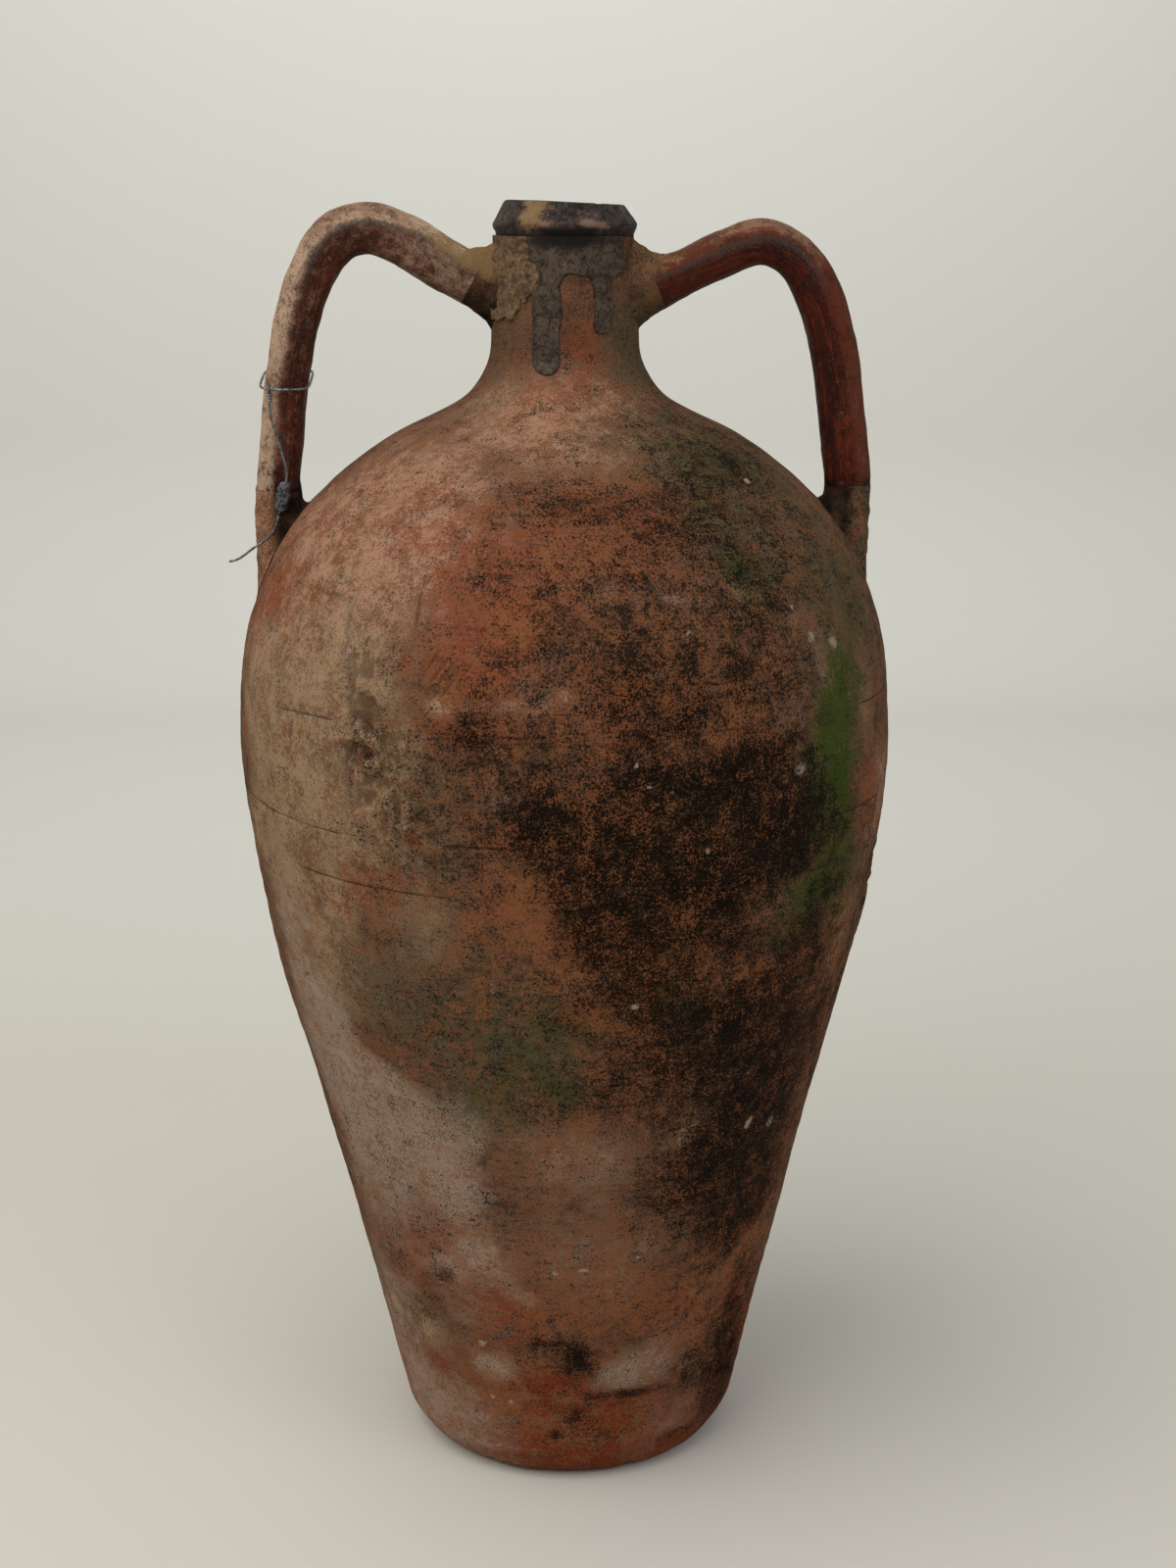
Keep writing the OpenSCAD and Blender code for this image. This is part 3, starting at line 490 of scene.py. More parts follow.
        (41, 423, 3.9, 3.1, 0, 0.5), (12, 307, 1.9, 1.7, 0, 0.8),
    ),
    "scrape": (
        (-6, 362, 16, 19, -30, 1), (-16, 348, 8, 18, -20, 0.8), (-15, 313, 4.1, 17, 0, 0.6),
        (-9, 500, 12, 18, -10, 0.8), (-20, 481, 12, 11, 0, 0.5), (4, 401, 21, 15, 0, 0.8),
        (10, 408, 24, 15, 0, 0.6), (0, 366, 14, 16, 0, 0.6), (23, 395, 26, 16, 0, 0.5),
        (29, 448, 22, 16, 0, 0.6), (54, 299, 30, 33, -40, 1), (58, 324, 23, 19, -40, 0.8),
        (38, 316, 25, 18, 0, 0.8), (21, 341, 31, 21, 0, 0.6), (11, 322, 30, 22, 0, 0.6),
        (7, 464, 29, 14, 0, 0.5), (20, 462, 25, 19, 0, 0.5), (62, 257, 23, 35, -20, 0.7),
        (59, 174, 17, 44, -10, 0.9), (40, 128, 28, 42, 0, 0.5), (6, 142, 42, 39, 0, 0.4),
        (14, 252, 26, 24, 0, 0.5), (-22, 471, 15, 14, 0, 0.4), (-26, 368, 16, 13, 0, 0.4),
        (-21, 52, 6, 14, 20, 0.7), (-33, 32, 17, 3.1, 20, 0.7), (3, 542, 34, 21, 0, 0.5),
        (-5, 42, 44, 17, 0, 0.7), (31, 81, 25, 28, 0, 0.3), (12, 316, 25, 28, 0, 0.7),
        (5, 344, 15, 21, 0, 0.5), (-6, 360, 15, 21, -30, 0.8), (4, 323, 15, 22, 0, 0.5),
        (-6, 360, 19, 26, -20, 0.5), (5, 328, 20, 33, 0, 0.4), (7, 323, 34, 27, 0, 0.4),
    ),
    "crater": (
        (-34, 441, 22, 32, 0, 1), (-29, 408, 20, 14, 0, 0.9), (-32, 473, 15, 12, 0, 0.7),
        (-22, 388, 26, 21, 0, 0.4), (3, 561, 34, 11, 0, 0.5), (50, 57, 35, 23, 0, 0.7),
        (59, 92, 22, 39, 0, 0.6), (-52, 82, 22, 19, 0, 0.6),
    ),
    "scratch": (
        (-21, 478, 0.8, 9, -35, 1), (-20, 476, 0.8, 10, -35, 1), (-19, 472, 0.8, 8, -38, 0.9),
        (-22, 484, 0.8, 7, -32, 0.9), (-18, 479, 0.8, 7, -35, 0.7), (-21, 468, 0.7, 6, -40, 0.7),
        (-26, 506, 1.2, 12, 2, 0.9), (-40, 500, 1.4, 9, -3, 0.6), (-47, 509, 20, 0.5, -6, 0.6),
        (-46, 487, 1.1, 4.4, -10, 0.5), (-11, 446, 36, 0.6, -2, 0.8), (4, 445, 38, 0.6, 0, 0.6),
        (-18, 436, 30, 0.6, 0, 0.5), (19, 418, 22, 0.6, 3, 0.9), (10, 422, 14, 0.6, 2, 0.6),
        (10, 473, 29, 0.5, 0, 0.3), (-3, 355, 15, 0.6, 0, 0.4), (11, 372, 29, 0.6, 3, 0.5),
        (4, 260, 20, 0.7, 0, 0.4), (3, 86, 1.6, 11, 32, 1), (-1, 95, 7, 1.4, -25, 0.8),
        (7, 75, 1.6, 7, 20, 0.9), (-33, 132, 3.2, 1.4, -30, 0.6),
    ),
}
# Marks of each kind on the side that the front view doesn't show: how many, between which
# heights, and the largest half size
BACK = {
    "drab": (8, 250, 580, 60),
    "tan": (9, 300, 580, 55), "olive": (12, 200, 580, 60), "red": (12, 120, 560, 50),
    "umber": (14, 120, 560, 60), "lilac": (12, 60, 330, 45), "moss": (4, 250, 480, 34),
    "soot": (14, 90, 460, 40), "scrape": (12, 90, 520, 36), "chalk": (14, 60, 540, 5),
    "crater": (5, 120, 520, 34), "scratch": (8, 120, 500, 16),
}


def add_back_marks():
    """Draws the marks of the far side, from a fixed seed, and adds them to the table."""
    rng = np.random.default_rng(7)
    for kind, (count, low, high, largest) in BACK.items():
        rows = []
        for _ in range(count):
            half_w, half_h = rng.uniform(0.3, 1, 2) * largest
            if kind == "scratch":
                half_h = 1
            rows.append((rng.uniform(80, 280), rng.uniform(low, high), half_w, half_h,
                         rng.uniform(-40, 40), rng.uniform(0.4, 0.95)))
        MARKS[kind] = MARKS[kind] + tuple(rows)


def mark(piece):
    """Stores the strength of each kind of mark on a piece of the jar. Clean clay shows all round
    the foot, up to a ragged line."""
    p = piece_points(piece)
    for kind, rows in MARKS.items():
        add_attribute(piece, kind, mark_strength(p, rows, 0.5 if kind in ("scratch", "chalk") else 1.0))
    add_attribute(piece, "rust", smooth_step(94, 40, p[:, 2] + 40 * layered_noise(p, 34, 4, 57)))
    # Painted shade, with some dirt, in the low places of the crumbly patches
    add_attribute(piece, "hollow", 0.75 * mark_strength(p, MARKS["crater"]) * smooth_step(0.1, -0.6, crumble(p)))
    # A painted shadow line just under the rim's lip, stored with the joint cracks
    lip_shadow = smooth_step(681.2, 681.6, p[:, 2])
    add_attribute(piece, "crack_and_lip_shadow", joint_cracks(p[:, 2] - wander(np.arctan2(p[:, 0], -p[:, 1]), p[:, 2]), p) + 1.4 * lip_shadow)


add_back_marks()


# Materials
def linear(hex_colour):
    """sRGB hex colour as linear RGBA."""
    value = hex_colour.lstrip("#")
    srgb = [int(value[i:i + 2], 16) / 255 for i in (0, 2, 4)]
    return [c / 12.92 if c <= 0.04045 else ((c + 0.055) / 1.055) ** 2.4 for c in srgb] + [1.0]


def new_material(name):
    """A material with an empty Principled surface; gives its node tree and shader."""
    material = bpy.data.materials.new(name)
    material.use_nodes = True
    tree = material.node_tree
    tree.nodes.clear()
    shader = tree.nodes.new("ShaderNodeBsdfPrincipled")
    output = tree.nodes.new("ShaderNodeOutputMaterial")
    tree.links.new(shader.outputs["BSDF"], output.inputs["Surface"])
    return material, tree, shader


def add(tree, kind, inputs, out=0, **settings):
    """Adds a node with its settings and its inputs, each a value or the output that feeds it, and
    gives one of its outputs."""
    made = tree.nodes.new("ShaderNode" + kind)
    for key, value in settings.items():
        setattr(made, key, value)
    for key, value in inputs.items():
        if isinstance(value, bpy.types.NodeSocket):
            tree.links.new(value, made.inputs[key])
        else:
            made.inputs[key].default_value = value
    return made.outputs[out]


def grits(tree, *sizes_mm, place=None, rough=0.9, detail=6):
    """Rough noises in the piece's own place: clumps about so many mm across, broken up into ever
    finer grains. Each has three independent channels."""
    place = place or add(tree, "TexCoord", {}, "Object")
    made = []
    for mm in sizes_mm:
        colour = add(tree, "TexNoise", {"Vector": place, "Scale": 1 / (mm * MM), "Detail": detail,
                                        "Roughness": rough, "Distortion": 0.2}, "Color")
        made.append([add(tree, "SeparateColor", {0: colour}, channel) for channel in (0, 1, 2)])
    return made


def covered(tree, strength, noises, softness, limit=1.0):
    """How far a stain covers: noises with their gains are added to its strength, and the sum is
    cut off at a half, with an edge of the given softness."""
    total, middle = strength, 0.5
    for noise_out, gain in noises:
        total = add(tree, "Math", {0: noise_out, 1: gain, 2: total}, operation="MULTIPLY_ADD")
        middle += 0.5 * gain
    return add(tree, "MapRange", {"Value": total, "From Min": middle - softness, "From Max": middle + softness,
                                  "To Max": limit}, interpolation_type="SMOOTHSTEP")


def specks(tree, grit, low, high, limit):
    """Specks where a grit rises above a level: from none at low to full at high."""
    return add(tree, "MapRange", {"Value": grit, "From Min": low, "From Max": high, "To Max": limit},
               interpolation_type="SMOOTHSTEP")


def paint(tree, colour, layers):
    """Lays colours over one another, each with the share that it covers."""
    for above, share in layers:
        colour = add(tree, "Mix", {0: share, 6: colour, 7: linear(above)}, 2, data_type="RGBA")
    return colour


def mark_on(tree, kind):
    """The strength of a kind of mark, as stored on the piece."""
    return add(tree, "Attribute", {}, "Fac", attribute_name=kind)


def weighed(tree, total, weights):
    """A number plus each kind of mark times its weight."""
    for kind, weight in weights:
        total = add(tree, "Math", {0: mark_on(tree, kind), 1: weight, 2: total}, operation="MULTIPLY_ADD")
    return total


# Kind of mark, colour, gains of the patches, clumps and grains in its edge, channel of the
# noises, softness of the edge, and the most that it covers
CLAY_LAYERS = (
    ("tan", "#ab836b", 0.8, 0.8, 0.3, 0, 0.55, 0.97),
    ("olive", "#a08569", 0.8, 0.8, 0.3, 1, 0.55, 0.95),
    ("drab", "#564e3c", 2.0, 3.0, 1.2, 2, 0.50, 0.90),
    ("red", "#86452f", 0.0, 4.0, 1.5, 1, 0.50, 0.92),
    ("umber", "#3a2a21", 0.0, 4.0, 1.8, 0, 0.60, 0.80),
    ("rust", "#732f17", 2.0, 3.0, 1.0, 2, 0.55, 0.88),
    ("scrape", "#875434", 0.0, 5.0, 2.5, 2, 0.40, 0.80),
    ("lilac", "#9b7d68", 2.0, 3.0, 0.8, 2, 0.55, 0.85),
    ("lilac", "#b09c8e", 0.0, 5.0, 2.0, 0, 0.30, 0.45),
    ("moss", "#2d4610", 1.5, 3.0, 2.6, 1, 0.60, 0.92),
    ("soot", "#2f2117", 1.0, 4.0, 1.5, 2, 0.60, 0.85),
)
# How much each kind of mark adds to the share of orange grains, and of black ones
FLECKS = (("soot", -0.22), ("umber", 0.04), ("red", 0.06), ("scrape", 0.25), ("rust", -0.10), ("drab", -0.15),
          ("tan", -0.20), ("olive", -0.30), ("lilac", -0.20), ("moss", -0.80))
BLACKS = (("soot", 1.30), ("umber", 0.30), ("red", 0.18), ("drab", 0.20), ("moss", -0.30), ("crater", 0.15),
          ("scrape", -0.10), ("lilac", -0.30), ("tan", -0.35), ("olive", -0.35), ("rust", -0.30))


def fired_earthenware(name, light, dark, sand=0.0):
    """Unglazed red earthenware, pulled up by hand: open sandy clay, dull, mottled by the fire,
    then stained by soil, salts, moss and soot. Its sand shows as fine orange grains among black
    ones, thickest where the soot lies, and throwing has drawn it out in faint level streaks.
    sand is added to the share of both."""
    material, tree, shader = new_material(name)
    patch, clump = grits(tree, 40, 13)
    grain, = grits(tree, 1.1, rough=0.6, detail=2)
    place = add(tree, "VectorMath", {0: add(tree, "TexCoord", {}, "Object"), 1: (0.1, 0.1, 1)}, operation="MULTIPLY")
    streak, = grits(tree, 2.2, place=place, rough=0.7, detail=3)
    colour = paint(tree, linear(dark), [(light, specks(tree, patch[0], 0.44, 0.56, 1)),
                                        ("#86604c", covered(tree, 0.2, [(clump[1], 4), (grain[1], 1.5)], 0.5, 0.6)),
                                        ("#463c38", covered(tree, 0.2, [(clump[2], 4), (grain[2], 1.5)], 0.5, 0.6)),
                                        ("#241812", specks(tree, streak[0], 0.52, 0.66, 0.35)),
                                        ("#241812", specks(tree, grain[0], 0.52, 0.72, 0.40))])
    for kind, above, of_patch, of_clump, of_grain, channel, softness, limit in CLAY_LAYERS:
        noises = [(patch[channel], of_patch), (clump[channel], of_clump), (grain[channel], of_grain)]
        share = covered(tree, mark_on(tree, kind), [pair for pair in noises if pair[1]], softness, limit)
        colour = paint(tree, colour, [(above, share)])
    orange = weighed(tree, 0.03 + sand, FLECKS)
    blacks = covered(tree, weighed(tree, -0.05 + sand, BLACKS), [(clump[0], 6), (streak[1], 1.5), (grain[0], 5)], 0.70, 0.95)
    colour = paint(tree, colour, [
        # Painted shade, with some dirt, in the hollows of the crumbly patches
        ("#3f3127", mark_on(tree, "hollow")),
        ("#80492f", covered(tree, orange, [(clump[1], 7), (grain[1], 4)], 0.40, 0.60)),
        ("#0f0a06", blacks),
        ("#a0613e", covered(tree, orange, [(clump[2], 6), (grain[2], 4.5)], 0.32, 0.42)),
        ("#a39382", covered(tree, mark_on(tree, "chalk"), [(grain[1], 1.5)], 0.15, 0.70)),
        # Dark hairline cracks at the joints, and a painted shadow line under the rim's lip
        ("#1c140e", add(tree, "Math", {0: mark_on(tree, "crack_and_lip_shadow"), 1: 0.55}, operation="MULTIPLY")),
        ("#231911", add(tree, "Math", {0: mark_on(tree, "scratch"), 1: 0.5}, operation="MULTIPLY")),
        # Grime, and painted shade on the undersides and inner sides of the handles' collars; then the ochre crust
        ("#1b1511", mark_on(tree, "grime_and_shade")), ("#7b6243", covered(tree, mark_on(tree, "ochre"), [(clump[1], 2), (grain[1], 1.5)], 0.4, 0.9)),
    ])
    tree.links.new(colour, shader.inputs["Base Color"])
    shader.inputs["Roughness"].default_value = 0.9
    shader.inputs["Specular IOR Level"].default_value = 0.05
    height = add(tree, "Math", {0: clump[0], 1: 1.5, 2: grain[0]}, operation="MULTIPLY_ADD")
    height = add(tree, "Math", {0: streak[0], 1: 0.7, 2: height}, operation="MULTIPLY_ADD")
    height = add(tree, "Math", {0: blacks, 1: -0.15, 2: height}, operation="MULTIPLY_ADD")
    normal = add(tree, "Bump", {"Height": height, "Distance": 0.7 * MM, "Strength": 0.8})
    tree.links.new(normal, shader.inputs["Normal"])
    return material


def rubbed_clay(name, slip, face, streak, smoke, roughness):
    """Handle clay: a slip that hands have rubbed off the faces, which are darker, streaked along
    the strap and a little shiny. The place along the strap and across it is stored on the piece."""
    material, tree, shader = new_material(name)
    along = add(tree, "Math", {0: mark_on(tree, "along"), 1: 0.10}, operation="MULTIPLY")
    place = add(tree, "CombineXYZ", {0: along, 1: mark_on(tree, "outward"), 2: mark_on(tree, "sideways")})
    place = add(tree, "VectorMath", {0: place, 3: MM}, operation="SCALE")
    fine_streak, streak_noise = grits(tree, 1.4, 6, place=place)
    grain, clump = grits(tree, 1.6, 9)
    worn = covered(tree, mark_on(tree, "worn"), [(streak_noise[0], 1), (clump[2], 2)], 0.65)
    faces = paint(tree, linear(face), [(streak, specks(tree, streak_noise[1], 0.48, 0.57, 0.8)),
                                       (smoke, specks(tree, clump[0], 0.51, 0.58, 0.75)),
                                       ("#1d1311", specks(tree, fine_streak[0], 0.52, 0.60, 0.6))])
    # Painted highlight on the top of the arch, on the outer face
    edges = paint(tree, linear(slip), [("#93705c", covered(tree, mark_on(tree, "arch_highlight"), [(clump[0], 3), (streak_noise[2], 2)], 0.4, 0.8)),
                                       (streak, specks(tree, clump[1], 0.52, 0.60, 0.6)),
                                       (smoke, specks(tree, clump[2], 0.51, 0.59, 0.60)),
                                       ("#4f4138", specks(tree, fine_streak[1], 0.53, 0.60, 0.5))])
    colour = add(tree, "Mix", {0: worn, 6: edges, 7: faces}, 2, data_type="RGBA")
    colour = paint(tree, colour, [
        ("#4a4644", covered(tree, mark_on(tree, "arris"), [(grain[0], 5)], 0.3, 0.6)),
        ("#876c47", covered(tree, mark_on(tree, "ochre"), [(clump[2], 3), (grain[2], 1)], 0.25, 0.9)),
        ("#221a17", specks(tree, grain[1], 0.55, 0.62, 0.6)),
        # Grime, and painted shade on the inner side of the strap's foot end
        ("#17110f", covered(tree, mark_on(tree, "grime_and_shade"), [(clump[1], 3), (grain[1], 1.5)], 0.3, 0.95)),
    ])
    tree.links.new(colour, shader.inputs["Base Color"])
    tree.links.new(add(tree, "MapRange", {"Value": clump[0], "From Min": 0.4, "From Max": 0.6, "To Min": roughness,
                                          "To Max": roughness + 0.15}), shader.inputs["Roughness"])
    shader.inputs["Specular IOR Level"].default_value = 0.07
    height = add(tree, "Math", {0: grain[0], 1: 1.0, 2: grain[1]}, operation="MULTIPLY_ADD")
    height = add(tree, "Math", {0: streak_noise[0], 1: 1.5, 2: height}, operation="MULTIPLY_ADD")
    tree.links.new(add(tree, "Bump", {"Height": height, "Distance": 0.4 * MM, "Strength": 0.6}), shader.inputs["Normal"])
    return material


def crusted(name, light, dark, edge, size_mm, depth_mm, roughness):
    """Old pitch, lime mortar or a smoked rim: lumpy and dull, in two tones, darker at its edge."""
    material, tree, shader = new_material(name)
    coarse, fine = grits(tree, size_mm, size_mm / 4)
    colour = paint(tree, linear(dark), [
        (light, specks(tree, coarse[0], 0.45, 0.55, 1)),
        ("#19130f", specks(tree, fine[0], 0.53, 0.60, 0.75)),
        ("#8a735a", specks(tree, fine[1], 0.55, 0.60, 0.30)),
        ("#8c7350", covered(tree, mark_on(tree, "ochre"), [(coarse[1], 3.5), (fine[1], 1)], 0.35, 0.9)),
        ("#86675a", covered(tree, mark_on(tree, "chip"), [(coarse[2], 3)], 0.3, 0.9)),
        # Stored darkening: the coatings' dark edges and smoke under the rim, and painted shade on the rim's underside
        (edge, mark_on(tree, "edge")),
    ])
    tree.links.new(colour, shader.inputs["Base Color"])
    shader.inputs["Roughness"].default_value = roughness
    shader.inputs["Specular IOR Level"].default_value = 0.2
    height = add(tree, "Math", {0: coarse[0], 1: 2, 2: fine[0]}, operation="MULTIPLY_ADD")
    tree.links.new(add(tree, "Bump", {"Height": height, "Distance": depth_mm * MM, "Strength": 0.8}), shader.inputs["Normal"])
    return material


def tarnished_metal(name, light, dark, roughness):
    """Drawn iron or pressed lead: grey metal with dull tarnish in its low places."""
    material, tree, shader = new_material(name)
    fine, coarse = grits(tree, 0.7, 2)
    colour = paint(tree, linear(light), [(dark, specks(tree, coarse[0], 0.46, 0.56, 1))])
    tree.links.new(colour, shader.inputs["Base Color"])
    shader.inputs["Metallic"].default_value = 0.85
    shader.inputs["Roughness"].default_value = roughness
    normal = add(tree, "Bump", {"Height": fine[0], "Distance": 0.12 * MM, "Strength": 0.6})
    tree.links.new(normal, shader.inputs["Normal"])
    return material


def plain_paper(name, colour):
    """Seamless studio paper: dull and even."""
    material, tree, shader = new_material(name)
    shader.inputs["Base Color"].default_value = linear(colour)
    shader.inputs["Roughness"].default_value = 0.95
    shader.inputs["Specular IOR Level"].default_value = 0.1
    return material


# Clay courses
def course(name, low, high, low_lap, high_lap, sides, step, material):
    """One course of the wall: outer surface up, lap face in, inner surface down, lap face out,
    turned round the axis."""
    turn = front_first(sides)
    up = course_rows(low, high, step)
    down = np.linspace(high + high_lap, low + low_lap, max(4, int((high - low) / 12)))
    outer = outer_point(turn[None, :], up[:, None])
    inner = jar_point(turn[None, :], down[:, None], inner_r(down)[:, None] + 0 * turn[None, :])
    share = np.array([0.005, 0.3, 0.7])[:, None, None]
    top_lap = outer[-1] + share * (inner[0] - outer[-1])
    low_face = inner[-1] + (1 - share[::-1]) * (outer[0] - inner[-1])
    piece = ring_piece(name + "_clay", np.concatenate([outer, top_lap, inner, low_face]), "jar", [name])
    mark(piece)
    piece.data.materials.append(material)


def foot_disc(material):
    """The foot: flat face, rounded edge, and the floor inside, with a chipped lower edge."""
    edge = np.array([
        (32, 0), (64, 0), (79, 0), (80.5, 0.3), (82.5, 1.4), (85, 3.2), (88, 6.4), (90.5, 9.8), (92.6, 13.2),
        (94.2, 16.4), (95.3, 19.2), (96, FOOT_T), (93.5, FOOT_T), (92, FOOT_T), (48, FOOT_T),
    ])
    along = np.concatenate([[0, 1], np.linspace(2, 11, 40)[:-1], [10.9, 10.98, 11, 12, 13, 14]])
    side_r, side_z = (np.interp(along, np.arange(15), edge[:, k]) for k in (0, 1))
    turn = front_first(460)
    r = side_r[:, None] + 0 * turn[None, :]
    z = side_z[:, None] + 0 * turn[None, :]
    plain = jar_point(turn[None, :], z, r)
    visible = smooth_step(80, 84, r) * (along < 11.5)[:, None]
    seam = smooth_step(FOOT_T - 8, FOOT_T, z)
    chips = smooth_step(0.45, 0.8, noise(plain, 11, 65)) * smooth_step(16, 4, z)
    worn = visible * (0.7 * layered_noise(plain, 24, 3, 61) - 1.1 * chips)
    r = r + (1 - seam) * worn + seam * visible * relief(turn[None, :], z, plain)
    piece = tube_piece("base_disc_clay", jar_point(turn[None, :], z, r), "jar", ["base_disc"])
    mark(piece)
    piece.data.materials.append(material)


def under_rim(p):
    """How dark it lies under the rim: strong in front, and faint elsewhere. On the pitch below the rim this is smoke;
    on the rim's own underside it is painted shade.
    """
    return 0.3 + 0.65 * smooth_step(24, 12, np.abs(p[..., 0] - 3 + 5 * noise(p, 9, 75))) * (p[..., 1] < 0)


def rim(material):
    """The bevelled lip: its outline turned round the axis, tilted a little, chipped along its
    edges and worn at the mouth."""
    outline = np.array([
        (36.5, 682), (37.4, 684.6), (37.9, 686), (38.2, 687.4), (38.2, 688.5), (37.0, 690.8), (35.4, 693.6),
        (33.8, 696.4), (32.3, 699.0), (31.6, 699.8), (30.6, 700), (29.4, 700), (28.5, 699.9), (27.5, 699.5),
        (26.8, 698.8), (26.5, 698), (26.5, 694), (26.5, 690), (26.5, 686), (29.8, 685), (33.2, 683),
    ])
    along = np.linspace(0, len(outline) - 1, 100)
    profile = np.stack([np.interp(along, np.arange(len(outline)), outline[:, k]) for k in (0, 1)], axis=-1)
    turn = np.linspace(0, 2 * math.pi, 400, endpoint=False)
    r = profile[:, 0][:, None] + 0 * turn[None, :]
    z = profile[:, 1][:, None] + 0 * turn[None, :]
    plain = jar_point(turn[None, :], z, r)
    free = smooth_step(682, 686, z) * smooth_step(27, 30, r)
    chips = smooth_step(0.35, 0.7, noise(plain, 6, 71)) * (0.4 + smooth_step(697, 700, z))
    edge_chips = smooth_step(0.1, 0.5, noise(plain, 8, 72)) * smooth_step(690.5, 687.5, z)
    r = r + free * (0.5 * layered_noise(plain, 9, 3, 73) - 0.9 * chips - 0.7 * edge_chips)
    z = z - free * (0.7 * chips + 0.3 * (1 + noise(plain, 14, 77))) - smooth_step(686, 700, z) * 0.045 * (plain[..., 0] + 20)
    piece = ring_piece("rim_collar_clay", jar_point(turn[None, :], z, r), "jar", ["rim_collar"])
    patch = mark_strength(plain, ((-30, 694, 5, 6.5, -25, 1), (-80, 690, 12, 8, 0, 0.2), (150, 694, 16, 6, 0, 0.6)))
    chip = mark_strength(plain, ((24, 688, 8, 2.4, -8, 1), (-19, 688.5, 4, 2.2, 0, 0.8), (200, 688, 9, 3, 0, 0.9)))
    add_attribute(piece, "ochre", patch)
    add_attribute(piece, "chip", 0.9 * chip)
    # Painted shade on the rim's underside, below its widest point, strongest in front
    add_attribute(piece, "edge", under_rim(plain) * smooth_step(688, 685, profile[:, 1][:, None] + 0 * turn[None, :]))
    piece.data.materials.append(material)


# Handles
def strap_sizes(arch_t, leg_t):
    """Half thickness, half breadth and squareness of the section at each knot of a route."""
    a, m, g, b = arch_t / 2, (arch_t + leg_t) / 4, leg_t / 2, STRAP_B / 2
    return np.array([
        (ROOT_END_R, ROOT_END_R, 2), (a, b, 2.3), (a, b, 2.6), (a, b, 2.6), (a, b, 2.6), (m, b, 2.6),
        (g, b, 2.6), (g, b, 2.6), (g, b, 2.6), (g, b, 2.3), (FOOT_END_R, FOOT_END_R, 2),
    ])


def strap(name, route, sizes, side, material, seed, fade, ochre):
    """A strap handle: a squarish oval carried along its route, with a soft arris between its outer
    and its front face, finger-drawn hollows along it and the dents of a hand-pulled strap. side is
    -1 for the left handle; fade is how far the wear fades towards the neck; ochre is the strength
    of the crust by the neck."""
    sides = 120
    u = np.linspace(0, len(route) - 1, 380)
    p, s = smooth_path(route, u), smooth_path(sizes, u)
    way = np.gradient(p, axis=0)
    way /= np.linalg.norm(way, axis=1)[:, None]
    a = np.linspace(0, 2 * math.pi, sides, endpoint=False)
    power = 2 / s[:, 2][:, None]
    out = s[:, 0][:, None] * np.sign(np.cos(a)) * np.abs(np.cos(a)) ** power
    across = s[:, 1][:, None] * np.sign(np.sin(a)) * np.abs(np.sin(a)) ** power
    x = p[:, 0][:, None] - way[:, 1][:, None] * out
    z = p[:, 1][:, None] + way[:, 0][:, None] * out
    plain = np.stack([side * x, across, z], axis=-1)
    free = smooth_step(0, 0.5, u)[:, None] * smooth_step(len(route) - 1, len(route) - 1.5, u)[:, None]
    arris = np.exp(-(((np.cos(a) - 0.3) / 0.22) ** 2))
    hollow = -0.5 * np.exp(-((across / 6.0) ** 2)) * (np.cos(a) > 0) - 0.5 * np.exp(-(((np.cos(a) + 0.35) / 0.35) ** 2))
    dents = 0.55 * layered_noise(plain, 22, 3, seed) + 0.16 * noise(plain, 4, seed + 5)
    scale = 1 + free * (hollow + 0.45 * arris + dents) / 13
    x = p[:, 0][:, None] - way[:, 1][:, None] * out * scale
    z = p[:, 1][:, None] + way[:, 0][:, None] * out * scale
    grid = np.stack([side * x, across * scale, z], axis=-1)
    piece = tube_piece(name + "_clay", grid, "jar", [name])
    length = np.concatenate([[0], np.cumsum(np.linalg.norm(np.diff(p, axis=0), axis=1))])[:, None]
    near_neck = smooth_step(3.6, 1.2, u)[:, None]
    arch = smooth_step(1.6, 2.6, u) * smooth_step(5.4, 4.0, u)
    line = 0.12 + 0.16 * noise(plain, 40, seed + 7) + (0.5 * near_neck - 0.15 * arch[:, None]) * fade
    ragged = u[:, None] + 0.7 * layered_noise(plain, 9, 3, seed + 9)
    values = {
        "worn": smooth_step(line + 0.22, line - 0.12, np.cos(a)) * (1 - 0.35 * near_neck),
        "arris": 0.85 * np.exp(-(((np.cos(a) - line - 0.02) / 0.13) ** 2)) * (np.sin(a) < 0) * smooth_step(6.2, 4.6, u)[:, None],
        # Painted highlight along the top of the arch
        "arch_highlight": 0.8 * arch[:, None] * smooth_step(0.1, 0.7, np.cos(a)),
        "ochre": ochre * smooth_step(2.3, 0.6, ragged) * smooth_step(-0.1, 0.7, np.cos(a)),
        # Dark at the strap's foot end: grime all round, deepened on its inner side as painted shade
        "grime_and_shade": smooth_step(8.6, 10.2, ragged) * (0.5 + 0.45 * smooth_step(0.4, -0.2, np.cos(a))),
        "along": length, "outward": out, "sideways": across,
    }
    for key, value in values.items():
        value = np.broadcast_to(value + 0 * x, x.shape)
        add_attribute(piece, key, np.append(value.ravel(), [value[0].mean(), value[-1].mean()]))
    piece.data.materials.append(material)


